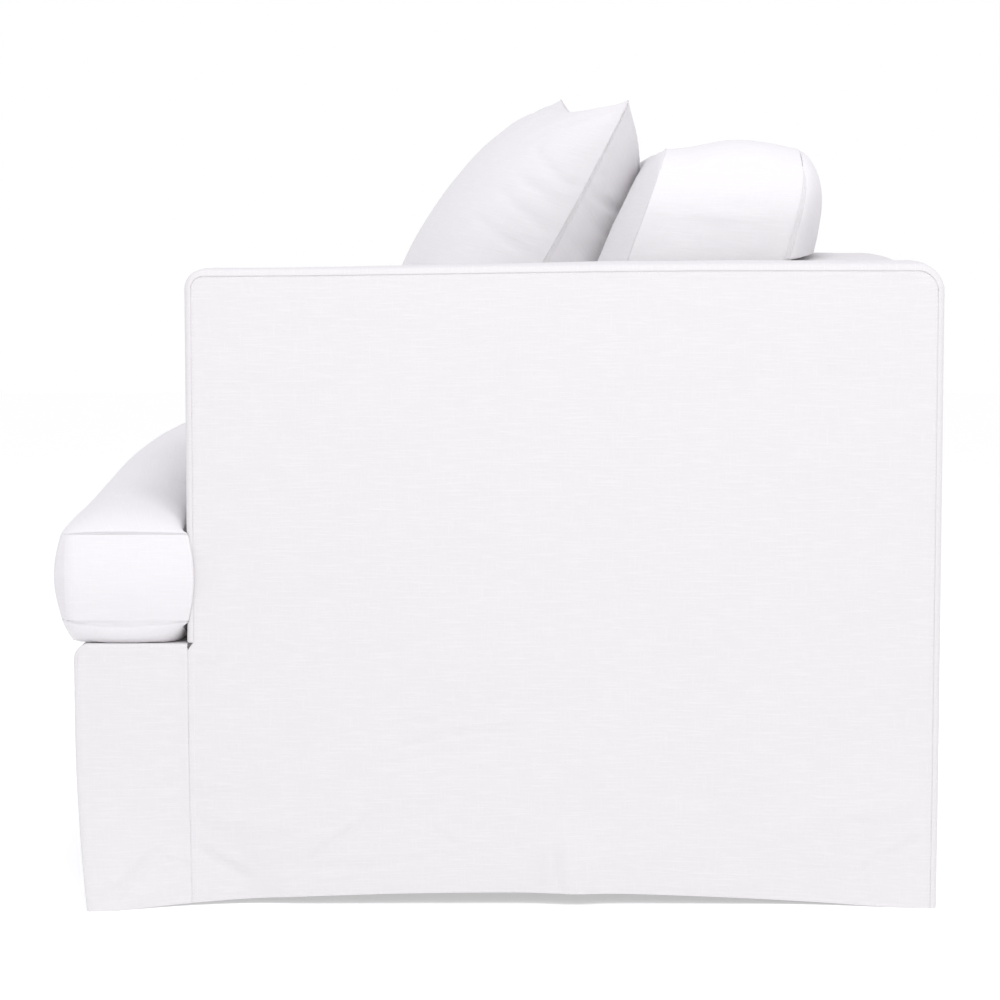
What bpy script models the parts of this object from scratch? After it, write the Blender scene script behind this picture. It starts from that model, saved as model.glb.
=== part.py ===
"""Slipcover of a square-arm armchair, with its covered seat cushion, back cushion and pillow.

The frame cover is a hollow of 2 mm cloth panels that meet at seams, in the shape in which they
hang over an armchair. Metres, +Z up, the front faces -Y, and the origin is on the floor under
the middle of the cover.
"""

import math
from collections import namedtuple

import bmesh
import bpy
import numpy as np

# Frame cover, measured over the cloth
HALF_WIDTH = 0.510  # side panels, above the hem's flare
ARM_WIDTH = 0.168
ARM_TOP = 0.6945  # at the rear; the front dips
ARM_FRONT = -0.3345
BASE_FRONT = -0.457
BACK = 0.4795
BACK_DEPTH = 0.150
DECK = 0.285

# Cloth and seams
CLOTH = 0.002
GAP = 0.0003  # between two panels that meet
ARM_EDGE = 0.007  # radius over which a strip turns down to a side panel
BASE_EDGE = 0.004  # the same at the base's front
ARM_FRONT_RADIUS = 0.021
REAR_TOP_RADIUS = 0.030
NOSE_RADIUS = 0.016

# How the hung cloth leaves the plain box
ARM_CROWN = 0.004
ARM_DIP = 0.006
BACK_CROWN = 0.0143
HEM_LIFT = 0.014  # the hem's middle hangs clear of the floor
LIFT_REACH = 0.26
FLARE_HEIGHT = 0.21
LOWER_SEAM = -0.334  # side panel's front edge below the deck

Flare = namedtuple("Flare", "x y push_x push_y reach")
FLARES = (
    Flare(HALF_WIDTH, BASE_FRONT, 0.036, 0.016, 0.095),
    Flare(-HALF_WIDTH, BASE_FRONT, -0.036, 0.013, 0.110),
    Flare(HALF_WIDTH, BACK, 0.021, -0.004, 0.100),
    Flare(-HALF_WIDTH, BACK, -0.019, -0.005, 0.115),
)

# Soft folds of the side panels, from (y0, z0) to (y1, z1), on the right (+1) or left (-1)
Fold = namedtuple("Fold", "side y0 z0 y1 z1 half_width depth")
FOLDS = (
    Fold(1, 0.085, -0.05, 0.078, 0.075, 0.030, 0.007),
    Fold(1, -0.330, 0.090, -0.245, -0.020, 0.035, -0.004),
    Fold(1, 0.440, 0.110, 0.300, 0.080, 0.035, 0.003),
    Fold(1, -0.120, 0.185, 0.050, 0.205, 0.045, -0.002),
    Fold(-1, 0.020, -0.05, 0.035, 0.090, 0.032, 0.006),
    Fold(-1, -0.300, 0.110, -0.210, -0.010, 0.038, -0.004),
    Fold(-1, 0.420, 0.130, 0.310, 0.090, 0.035, 0.003),
)

# Seat cushion: T-shaped, its two ears in front of the arms
SEAT_FRONT = -0.4725
SEAT_BACK = 0.3095
SEAT_HALF = 0.327
EAR_HALF = 0.507
EAR_BACK = -0.339
SEAT_SEAMS = (0.311, 0.404)
SEAT_CROWN = 0.138
SEAT_UNDER = 0.060
SEAT_BULGE = 0.007
SEAT_TIGHT_BULGE = 0.002  # where a side faces the arms or the back
SEAT_PRESSED = 0.488  # crown left under the back cushion and the pillow
SEAT_FULLNESS = 0.45
SEAT_UNDER_FULLNESS = 0.22
SEAT_CORNER = 0.020  # round of the ears' front corners in plan
SEAT_TIGHT_CORNER = 0.014
CLEAR = 0.0008  # between a cushion and what it lies on

# Back cushion: boxed, leaning on the back's top edge
BACK_CUSHION_HALF = 0.323
BACK_CUSHION_HEIGHT = 0.3555
BACK_CUSHION_BOX = 0.171
BACK_CUSHION_FOOT = (0.0675, 0.4725)  # y and z of its lower front seam
BACK_CUSHION_SLOPE = 0.36  # how far it has sunk back for each metre up
BACK_CUSHION_CROWN = (0.052, 0.058)  # front, rear
BACK_CUSHION_BULGE = 0.010
BACK_CUSHION_CORNER = 0.060
BACK_CUSHION_SHOULDER = (0.080, 0.030)  # its rear top edge is round: height, reach
BACK_CUSHION_ENDS = 0.30  # how much flatter its front is at its two ends
LEDGE_CLEAR = 0.0015  # over the back's crowned top
LEDGE_EASE = 0.014  # height over which it spreads on to the back's top
LEDGE_FADE = 0.060  # height over which it follows the curve of the back's top
CUSHION_FULLNESS = 0.45
SKIN_EASE = 0.004  # a skin leaves its seam at a slant

# Scatter pillow: knife edge, with drawn-in sides and four ears
PILLOW_HALF = 0.228
PILLOW_CROWN = (0.104, 0.132)  # front, rear
PILLOW_CENTRE = (0.0, 0.005, 0.7026)
PILLOW_LEAN = 30.0
PILLOW_TURN = 11.0
PILLOW_ROLL = -4.0
PILLOW_DRAW = 0.030
PILLOW_FULLNESS = (0.50, 0.46)  # front, rear
PILLOW_EASE = 0.012
PILLOW_BOW = 0.014  # its right-hand seam bows towards the rear
PILLOW_CLEAR = 0.0045  # the coarse back cushion keeps off the pillow's round back
PILLOW_SAG = (0.041, -0.011)  # drop of its lower corners, and how it changes to the right

COVER_WHITE = (0.86, 0.85, 0.83, 1.0)
INSIDE_WHITE = (0.80, 0.79, 0.77, 1.0)
CLOTH_ROUGHNESS = 0.92

ARM_INNER = HALF_WIDTH - ARM_WIDTH
BACK_FRONT = BACK - BACK_DEPTH

# Heights shared by all upright panels, from the hem up
BASE_ROWS = (0.0, 0.018, 0.040, 0.065, 0.095, 0.130, 0.175, 0.225)
SIDE_ROWS = BASE_ROWS + (0.279, 0.2868, 0.350, 0.440, 0.530, 0.610)


def smooth_step(value):
    """Ease from 0 to 1 as value goes from 0 to 1."""
    value = min(max(value, 0.0), 1.0)
    return value * value * (3.0 - 2.0 * value)


def spaced(start, end, count):
    """Evenly spaced numbers, both ends included."""
    return [start + (end - start) * i / (count - 1) for i in range(count)]


def graded(half, steps):
    """Grid lines from -half to half: steps from the edge inwards, then even ones between."""
    near = [half - step for step in steps]
    middle = spaced(-near[-1], near[-1], 2 + round(2 * near[-1] / 0.066))
    return [-value for value in near[:-1]] + middle + near[-2::-1]


# Draping


def hem_fall(z):
    """Share of a hem's movement that is left at a height."""
    return max(0.0, 1.0 - z / FLARE_HEIGHT) ** 2


def fold_push(side, y, z):
    """Outward push of the soft folds at a point of a side panel."""
    push = 0.0
    for fold in FOLDS:
        if fold.side != side:
            continue
        along = (fold.y1 - fold.y0, fold.z1 - fold.z0)
        length = math.hypot(*along)
        t = ((y - fold.y0) * along[0] + (z - fold.z0) * along[1]) / length**2
        across = abs((y - fold.y0) * along[1] - (z - fold.z0) * along[0]) / length
        taper = smooth_step(1.5 - 2.0 * abs(t - 0.5)) if -0.25 < t < 1.25 else 0.0
        push += fold.depth * taper * math.exp(-((across / fold.half_width) ** 2))
    return push


def crown_rise(x, y, z):
    """Rise of the soft tops of the arms and the back, less the arms' dip at the front."""
    near_top = smooth_step((z - ARM_TOP + 0.030) / 0.028)
    rearward = smooth_step((y - ARM_FRONT) / 0.60)
    dip = ARM_DIP * (1.0 - rearward) * smooth_step((z - DECK - 0.05) / (ARM_TOP - DECK - 0.05))
    if abs(x) > ARM_INNER:
        across = (abs(x) - ARM_INNER) / ARM_WIDTH
        crown = ARM_CROWN * (0.3 + 0.7 * rearward) * 4.0 * across * (1.0 - across)
        return near_top * crown - dip
    if y > BACK_FRONT - 0.001:
        return near_top * BACK_CROWN * (1.0 - (x / ARM_INNER) ** 2)
    return -dip


def drape(point):
    """Move a point of the plain box to where the hung cloth has it."""
    x, y, z = point
    fall = hem_fall(z)
    lift = HEM_LIFT * fall
    move_x = move_y = 0.0
    for flare in FLARES:
        away = math.hypot(x - flare.x, y - flare.y)
        weight = math.exp(-((away / flare.reach) ** 2))
        move_x += flare.push_x * weight * fall
        move_y += flare.push_y * weight * fall
        lift *= 1.0 - math.exp(-((away / LIFT_REACH) ** 2))
    side = 1 if x > 0 else -1
    outer = smooth_step((abs(x) - HALF_WIDTH + 0.012) / 0.010)
    below = smooth_step((DECK - 0.010 - z) / 0.030)
    move_x += side * fold_push(side, y, z) * outer * below
    return (x + move_x, y + move_y, z + lift + crown_rise(x, y, z))


# Closed cloth sheets


def finish_object(name, mesh_data, colour):
    """Turn a closed bmesh into a named, smooth object with its own cloth material."""
    bmesh.ops.recalc_face_normals(mesh_data, faces=mesh_data.faces)
    mesh = bpy.data.meshes.new(name)
    mesh_data.to_mesh(mesh)
    mesh_data.free()
    mesh.shade_smooth()
    mesh.set_sharp_from_angle(angle=math.radians(50.0))
    item = bpy.data.objects.new(name, mesh)
    bpy.context.scene.collection.objects.link(item)
    material = bpy.data.materials.new(name + "_cloth")
    material.use_nodes = True
    shader = material.node_tree.nodes["Principled BSDF"]
    shader.inputs["Base Color"].default_value = colour
    shader.inputs["Roughness"].default_value = CLOTH_ROUGHNESS
    shader.inputs["Metallic"].default_value = 0.0
    mesh.materials.append(material)
    return item


def cloth_sheet(name, outer, inner, colour=COVER_WHITE):
    """Close the space between two grids of points, [row][column], into one thin solid."""
    mesh_data = bmesh.new()
    front = [[mesh_data.verts.new(drape(p)) for p in row] for row in outer]
    behind = [[mesh_data.verts.new(drape(p)) for p in row] for row in inner]
    rows, columns = len(outer), len(outer[0])
    for i in range(rows - 1):
        for j in range(columns - 1):
            for grid in (front, behind):
                corners = grid[i][j], grid[i][j + 1], grid[i + 1][j + 1], grid[i + 1][j]
                mesh_data.faces.new(corners)
    rim = [(0, j) for j in range(columns)]
    rim += [(i, columns - 1) for i in range(1, rows)]
    rim += [(rows - 1, j) for j in range(columns - 2, -1, -1)]
    rim += [(i, 0) for i in range(rows - 2, 0, -1)]
    for (a, b), (c, d) in zip(rim, rim[1:] + rim[:1]):
        mesh_data.faces.new((front[a][b], front[c][d], behind[c][d], behind[a][b]))
    return finish_object(name, mesh_data, colour)


def flat_panel(name, point, inward, columns, rows_of, colour=COVER_WHITE):
    """Sheet on a plane: point(column, row) on its outer face, inward its thickness vector."""
    outer = [[point(c, r) for r in rows_of(c)] for c in columns]
    inner = [[tuple(p + d for p, d in zip(q, inward)) for q in line] for line in outer]
    return cloth_sheet(name, outer, inner, colour)


# Strips that are swept along a path in the YZ plane


def arc(centre_y, centre_z, radius, start, end, steps):
    """Stations of an arc: (y, z, outward y, outward z), angles in degrees from +Y up."""
    stations = []
    for angle in spaced(math.radians(start), math.radians(end), steps):
        out_y, out_z = math.cos(angle), math.sin(angle)
        stations.append((centre_y + radius * out_y, centre_z + radius * out_z, out_y, out_z))
    return stations


def turned_edge(x, depth_radius, direction, steps=4):
    """Profile points of an edge that turns down: (x, depth, outward x, outward depth)."""
    centre = x - direction * depth_radius
    points = []
    for angle in spaced(0.0, math.pi / 2, steps):
        out_x, out_d = direction * math.cos(angle), math.sin(angle)
        reach = depth_radius * (1.0 - out_d)
        points.append((centre + depth_radius * out_x, reach, out_x, out_d))
    return points


def swept(stations, profile, inset):
    """Grid of points of a profile carried along the stations, at a depth into the cloth."""
    grid = []
    for y, z, out_y, out_z in stations:
        line = []
        for x, depth, out_x, out_d in profile(y):
            reach = depth + inset * out_d
            line.append((x - inset * out_x, y - out_y * reach, z - out_z * reach))
        grid.append(line)
    return grid


def swept_strip(name, stations, profile):
    """Closed strip of cloth along a path."""
    return cloth_sheet(name, swept(stations, profile, 0.0), swept(stations, profile, CLOTH))


def arm_top_stations():
    """Path over the arm: its front corner, its straight top and the round of its rear edge."""
    first, last = ARM_FRONT + ARM_FRONT_RADIUS, BACK - REAR_TOP_RADIUS
    ahead = spaced(first, BACK_FRONT - 0.004, 17)[1:]
    behind = spaced(BACK_FRONT + GAP, last, 4)[:-1]
    corner = arc(first, ARM_TOP - ARM_FRONT_RADIUS, ARM_FRONT_RADIUS, 180, 90, 5)
    rear = arc(last, ARM_TOP - REAR_TOP_RADIUS, REAR_TOP_RADIUS, 90, 0, 6)
    return corner + [(y, ARM_TOP, 0.0, 1.0) for y in ahead + behind] + rear


def arm_stations():
    """Path of an arm strip: up the arm's front and over its top."""
    front = [(ARM_FRONT, z, -1.0, 0.0) for z in SIDE_ROWS if z > DECK]
    return front + arm_top_stations()


def arm_profile(side):
    """Cross-section of an arm strip; its inner edge lies flat beside the back strip."""
    outer = turned_edge(HALF_WIDTH, ARM_EDGE, 1)
    turned = turned_edge(ARM_INNER, ARM_EDGE, -1)[::-1]
    flat = [(max(p[0], ARM_INNER + GAP), 0.0, 0.0, 1.0) for p in turned]
    between = [
        (x, 0.0, 0.0, 1.0)
        for x in spaced(HALF_WIDTH - ARM_EDGE, ARM_INNER + ARM_EDGE, 5)[1:-1]
    ]

    def profile(y):
        inner = turned if y < BACK_FRONT else flat
        return [(side * x, d, side * ox, od) for x, d, ox, od in outer + between + inner]

    return profile


def build_arm_strip(name, side):
    """Strip of one arm's front and top."""
    return swept_strip(name, arm_stations(), arm_profile(side))


def build_back_strip(name):
    """Crowned top of the back, between the two arm strips."""
    front_z = ARM_TOP - ARM_EDGE
    stations = arc(BACK_FRONT + ARM_EDGE, front_z, ARM_EDGE, 180, 90, 4)
    stations += [(y, ARM_TOP, 0.0, 1.0) for y in spaced(BACK_FRONT + 0.030, BACK - 0.060, 3)]
    rear = BACK - REAR_TOP_RADIUS, ARM_TOP - REAR_TOP_RADIUS
    stations += arc(*rear, REAR_TOP_RADIUS, 90, 0, 6)
    across = [(x, 0.0, 0.0, 1.0) for x in spaced(-ARM_INNER, ARM_INNER, 13)]
    return swept_strip(name, stations, lambda y: across)


def build_deck_front(name):
    """Bar in front of the arms: over the base's nose and back to the arms' fronts."""
    nose = BASE_FRONT + NOSE_RADIUS, DECK - NOSE_RADIUS
    stations = arc(*nose, NOSE_RADIUS, 180, 90, 5)
    stations += [(y, DECK, 0.0, 1.0) for y in spaced(nose[0], ARM_FRONT - GAP, 4)[1:]]
    outer = turned_edge(HALF_WIDTH, BASE_EDGE, 1, 3)
    inner = turned_edge(-HALF_WIDTH, BASE_EDGE, -1, 3)[::-1]
    reach = HALF_WIDTH - BASE_EDGE
    middle = [(x, 0.0, 0.0, 1.0) for x in spaced(reach, -reach, 11)[1:-1]]
    return swept_strip(name, stations, lambda y: outer + middle + inner)


# Upright and level panels


def scaled_rows(rows, top):
    """Rows stretched evenly so that the last one is at top."""
    return [z * top / rows[-1] for z in rows]


def inset_edge(stations, depth):
    """Outline points (y, z) that lie a depth inside a path."""
    return [(y - out_y * depth, z - out_z * depth) for y, z, out_y, out_z in stations]


def build_side_panel(name, side):
    """Side of arm, base and back in one piece, down to the hem."""
    outline = inset_edge(arm_top_stations(), ARM_EDGE + GAP)
    rows = SIDE_ROWS + (outline[0][1],)
    first = outline[0][0]

    def point(column, z):
        y = column[0]
        if y == first and z < DECK - 0.001:
            y = LOWER_SEAM
        return (side * HALF_WIDTH, y, z)

    inward = (-side * CLOTH, 0.0, 0.0)
    return flat_panel(name, point, inward, outline, lambda c: scaled_rows(rows, c[1]))


def build_front_return(name, side):
    """Short side of the base in front of an arm."""
    nose = BASE_FRONT + NOSE_RADIUS, DECK - NOSE_RADIUS
    path = arc(*nose, NOSE_RADIUS, 180, 90, 5)
    path += [(y, DECK, 0.0, 1.0) for y in spaced(nose[0], LOWER_SEAM - GAP, 5)[1:]]
    outline = inset_edge(path, BASE_EDGE + GAP)
    rows = BASE_ROWS + (outline[0][1],)
    inward = (-side * CLOTH, 0.0, 0.0)
    point = lambda column, z: (side * HALF_WIDTH, column[0], z)
    return flat_panel(name, point, inward, outline, lambda c: scaled_rows(rows, c[1]))


def upright_with_turned_sides(name, y, out_y, edge, rows, columns):
    """Front or rear panel across the full width, its upright edges turned on to the sides."""
    profile = turned_edge(HALF_WIDTH, edge, 1)
    reach = HALF_WIDTH - edge
    profile += [(x, 0.0, 0.0, 1.0) for x in spaced(reach, -reach, columns)[1:-1]]
    profile += turned_edge(-HALF_WIDTH, edge, -1)[::-1]
    stations = [(y, z, out_y, 0.0) for z in rows]
    return swept_strip(name, stations, lambda _: profile)


def build_front_panel(name):
    """Front of the base, from the nose to the hem."""
    rows = BASE_ROWS + (DECK - NOSE_RADIUS - GAP,)
    return upright_with_turned_sides(name, BASE_FRONT, -1.0, BASE_EDGE, rows, 19)


def build_outside_back(name):
    """Rear panel, from the rear edge's round to the hem."""
    rows = scaled_rows(SIDE_ROWS + (0.671,), ARM_TOP - REAR_TOP_RADIUS - GAP)
    return upright_with_turned_sides(name, BACK, 1.0, ARM_EDGE, rows, 19)


def build_inside_arm(name, side):
    """Inner face of an arm, from its strip down to the deck."""
    path = [station for station in arm_top_stations() if station[0] < BACK_FRONT]
    outline = inset_edge(path, ARM_EDGE + GAP)
    point = lambda column, z: (side * ARM_INNER, column[0], z)
    rows = lambda column: spaced(DECK + GAP, column[1], 6)
    return flat_panel(name, point, (side * CLOTH, 0.0, 0.0), outline, rows, INSIDE_WHITE)


def build_inside_back(name):
    """Front face of the back, from its strip down to the deck."""
    columns = spaced(GAP - ARM_INNER, ARM_INNER - GAP, 9)
    rows = spaced(DECK + GAP, ARM_TOP - ARM_EDGE - GAP, 6)
    point = lambda x, z: (x, BACK_FRONT, z)
    return flat_panel(name, point, (0.0, CLOTH, 0.0), columns, lambda _: rows, INSIDE_WHITE)


def build_deck(name):
    """Level seat cloth between the arms, under the cushion."""
    half = ARM_INNER + CLOTH
    columns = spaced(-half, half, 7)
    rows = spaced(ARM_FRONT, BACK_FRONT + CLOTH, 7)
    point = lambda x, y: (x, y, DECK)
    return flat_panel(name, point, (0.0, 0.0, -CLOTH), columns, lambda _: rows, INSIDE_WHITE)


# Filled cushions


def membrane(us, ws, inside, cell=0.010, steps=2500):
    """Sampler of an evenly blown skin, 0 at the edge of a region and 1 at its highest."""
    grid_u = np.arange(us[0], us[-1] + cell / 2, cell)
    grid_w = np.arange(ws[0], ws[-1] + cell / 2, cell)
    held = np.array([[inside(u, w) for w in grid_w] for u in grid_u])
    held[0, :] = held[-1, :] = held[:, 0] = held[:, -1] = False
    skin = np.zeros(held.shape)
    for _ in range(steps):
        around = np.roll(skin, 1, 0) + np.roll(skin, -1, 0)
        around += np.roll(skin, 1, 1) + np.roll(skin, -1, 1)
        skin = np.where(held, around / 4.0 + cell * cell, 0.0)
    skin /= skin.max()

    def height(u, w):
        i = min(max((u - grid_u[0]) / cell, 0.0), len(grid_u) - 1.001)
        j = min(max((w - grid_w[0]) / cell, 0.0), len(grid_w) - 1.001)
        a, b = int(i), int(j)
        p, q = i - a, j - b
        near = skin[a, b] * (1 - q) + skin[a, b + 1] * q
        far = skin[a + 1, b] * (1 - q) + skin[a + 1, b + 1] * q
        return float(near * (1 - p) + far * p)

    return height


def round_corner(u, w, corner, radius):
    """Ease a point near a convex corner on to the round that the corner really has."""
    corner_u, corner_w = corner
    sign_u, sign_w = math.copysign(1, corner_u[1]), math.copysign(1, corner_w[1])
    centre_u = corner_u[0] - sign_u * radius
    centre_w = corner_w[0] - sign_w * radius
    a = (u - centre_u) * sign_u / radius
    b = (w - centre_w) * sign_w / radius
    if a <= 0 or b <= 0:
        return u, w
    proud = max(a, b, 1.0)  # a boxing's swell goes round the corner with its seams
    a, b = a / proud, b / proud
    a, b = a * math.sqrt(1 - b * b / 2), b * math.sqrt(1 - a * a / 2)
    reach = radius * proud
    return centre_u + sign_u * a * reach, centre_w + sign_w * b * reach


def region_edges(us, ws, inside):
    """Cells of a region and the edges where it ends, each with its outward direction."""
    cells = set()
    for i in range(len(us) - 1):
        for j in range(len(ws) - 1):
            if inside((us[i] + us[i + 1]) / 2, (ws[j] + ws[j + 1]) / 2):
                cells.add((i, j))
    edges = []
    for i, j in cells:
        if (i - 1, j) not in cells:
            edges.append(((i, j), (i, j + 1), (-1, 0)))
        if (i + 1, j) not in cells:
            edges.append(((i + 1, j), (i + 1, j + 1), (1, 0)))
        if (i, j - 1) not in cells:
            edges.append(((i, j), (i + 1, j), (0, -1)))
        if (i, j + 1) not in cells:
            edges.append(((i, j + 1), (i + 1, j + 1), (0, 1)))
    return sorted(cells), sorted(edges)


def cushion_solid(name, us, ws, inside, faces, rings, place):
    """Filled cushion on a grid.

    faces are two functions (u, w) -> t, the lower and the upper skin, which meet the seams at
    the region's edge. rings are the levels of the boxing between them, each a function
    (u, w, outward u, outward w) -> (u, w, t), from the lower seam to the upper one; a knife
    edge has one ring. place turns (u, w, t) into a point of the part.
    """
    cells, edges = region_edges(us, ws, inside)
    outward = {}
    for start, end, direction in edges:
        for node in (start, end):
            total = outward.get(node, (0, 0))
            outward[node] = (total[0] + direction[0], total[1] + direction[1])
    mesh_data = bmesh.new()
    ring_verts = []
    for ring in rings:
        verts = {}
        for (i, j), (out_u, out_w) in outward.items():
            size = math.hypot(out_u, out_w) or 1.0
            point = ring(us[i], ws[j], out_u / size, out_w / size)
            verts[(i, j)] = mesh_data.verts.new(place(*point))
        ring_verts.append(verts)
    skins = []
    for face, seam in zip(faces, (ring_verts[0], ring_verts[-1])):
        verts = dict(seam)
        for i, j in {(a + da, b + db) for a, b in cells for da in (0, 1) for db in (0, 1)}:
            if (i, j) not in verts:
                verts[(i, j)] = mesh_data.verts.new(place(us[i], ws[j], face(us[i], ws[j])))
        skins.append(verts)
    for i, j in cells:
        for verts, order in zip(skins, (-1, 1)):
            corners = [verts[(i, j)], verts[(i + 1, j)], verts[(i + 1, j + 1)], verts[(i, j + 1)]]
            mesh_data.faces.new(corners[::order])
    for lower, upper in zip(ring_verts, ring_verts[1:]):
        for start, end, _ in edges:
            mesh_data.faces.new((lower[start], lower[end], upper[end], upper[start]))
    return finish_object(name, mesh_data, COVER_WHITE)


EDGE_STEPS = (0.0, 0.004, 0.014, 0.032, 0.060)


def filled(share, fullness, ease=SKIN_EASE):
    """Height of a filled skin, 0 at its seam and 1 at its highest, from its blown share."""
    seam = ease**fullness
    return ((share + ease) ** fullness - seam) / ((1.0 + ease) ** fullness - seam)


def in_seat(u, w):
    """Whether a point of the plan is inside the seat cushion's T."""
    return abs(u) < SEAT_HALF or w < EAR_BACK


def seat_lines():
    """Grid lines of the seat cushion's plan, across and front to back."""
    ear = [SEAT_HALF + 0.030, SEAT_HALF + 0.075]
    ear += [EAR_HALF - step for step in EDGE_STEPS[::-1]]
    us = [-u for u in ear[::-1]] + graded(SEAT_HALF, EDGE_STEPS) + ear
    ws = [SEAT_FRONT + step for step in EDGE_STEPS[:-1]]
    ws += [EAR_BACK - step for step in EDGE_STEPS[::-1]]
    ws += spaced(EAR_BACK, SEAT_BACK - EDGE_STEPS[-1], 9)[1:]
    ws += [SEAT_BACK - step for step in EDGE_STEPS[-2::-1]]
    return us, ws


def seat_top(skin, x, y):
    """Height of the seat cushion's upper skin, lower where it is leaned on."""
    pressed = smooth_step((y + 0.30) / 0.22)
    share = 1.0 - (1.0 - SEAT_PRESSED) * pressed
    return SEAT_SEAMS[1] + SEAT_CROWN * share * filled(skin(x, y), SEAT_FULLNESS)


def build_seat_cushion(name, skin):
    """T-shaped seat cushion, flat where it lies on the deck."""
    us, ws = seat_lines()
    low, high = SEAT_SEAMS
    corners = [((s * EAR_HALF, s), (SEAT_FRONT, -1), SEAT_CORNER) for s in (-1, 1)]
    corners += [((s * EAR_HALF, s), (EAR_BACK, 1), SEAT_TIGHT_CORNER) for s in (-1, 1)]
    corners += [((s * SEAT_HALF, s), (SEAT_BACK, 1), SEAT_TIGHT_CORNER) for s in (-1, 1)]

    def lower(u, w):
        return max(low - SEAT_UNDER * skin(u, w) ** SEAT_UNDER_FULLNESS, DECK + CLEAR)

    def boxing(share):
        def ring(u, w, out_u, out_w):
            free = w < EAR_BACK - 0.001 and (abs(out_w + 1) < 0.3 or abs(u) > SEAT_HALF + 0.01)
            bulge = SEAT_BULGE if free else SEAT_TIGHT_BULGE
            push = bulge * math.sin(math.pi * share) if 0 < share < 1 else 0.0
            return u + push * out_u, w + push * out_w, low + (high - low) * share

        return ring

    def place(u, w, t):
        for along_u, along_w, radius in corners:
            u, w = round_corner(u, w, (along_u, along_w), radius)
        return (u, w, t)

    faces = (lower, lambda u, w: seat_top(skin, u, w))
    rings = [boxing(share) for share in (0.0, 0.2, 0.5, 0.8, 1.0)]
    return cushion_solid(name, us, ws, in_seat, faces, rings, place)


def pillow_axes():
    """Directions of the pillow: across, up along its lean, and out of its front."""
    turn, lean, roll = (math.radians(a) for a in (PILLOW_TURN, PILLOW_LEAN, PILLOW_ROLL))
    level = np.array([math.cos(turn), math.sin(turn), 0.0])
    ahead = np.array([math.sin(turn), -math.cos(turn), 0.0])
    rise = np.array([0.0, 0.0, 1.0]) * math.cos(lean) - ahead * math.sin(lean)
    across = level * math.cos(roll) + rise * math.sin(roll)
    up = rise * math.cos(roll) - level * math.sin(roll)
    return across, up, np.cross(across, up)


def pillow_skin():
    """Share of a pillow's crown over its square, fuller than a blown skin."""
    line = spaced(-PILLOW_HALF, PILLOW_HALF, 3)
    return membrane(line, line, lambda u, w: max(abs(u), abs(w)) < PILLOW_HALF, 0.008)


def pillow_bow(u, w):
    """How far the pillow has moved back beside its bowed right-hand seam."""
    return PILLOW_BOW * (1.0 - (w / PILLOW_HALF) ** 2) * max(u / PILLOW_HALF, 0.0) ** 5


def pillow_rear(skin, u, w):
    """Place of the pillow's rear skin, before its seam's bow."""
    return -PILLOW_CROWN[1] * filled(skin(u, w), PILLOW_FULLNESS[1], PILLOW_EASE)


def build_pillow(name, skin, seat):
    """Knife-edge pillow with drawn-in sides, on the seat and leaning on the back cushion."""
    across, up, ahead = pillow_axes()
    lines = graded(PILLOW_HALF, (0.0, 0.006, 0.020, 0.045))
    centre = np.array(PILLOW_CENTRE)

    def place(u, w, t):
        t -= pillow_bow(u, w)
        draw_u = PILLOW_DRAW * (1.0 - (w / PILLOW_HALF) ** 2) * abs(u / PILLOW_HALF) ** 3
        draw_w = PILLOW_DRAW * (1.0 - (u / PILLOW_HALF) ** 2) * abs(w / PILLOW_HALF) ** 3
        u -= math.copysign(draw_u, u)
        w -= math.copysign(draw_w, w)
        point = centre + across * u + up * w + ahead * t
        if w < 0:
            sag = PILLOW_SAG[0] + PILLOW_SAG[1] * u / PILLOW_HALF
            point[2] -= sag * (w / PILLOW_HALF) ** 2
            point[2] = max(point[2], seat_top(seat, point[0], point[1]) + CLEAR)
        return tuple(point)

    faces = (
        lambda u, w: pillow_rear(skin, u, w),
        lambda u, w: PILLOW_CROWN[0] * filled(skin(u, w), PILLOW_FULLNESS[0], PILLOW_EASE),
    )
    edge = lambda u, w, out_u, out_w: (u, w, 0.0)
    inside = lambda u, w: max(abs(u), abs(w)) < PILLOW_HALF
    return cushion_solid(name, lines, lines, inside, faces, [edge], place)


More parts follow.
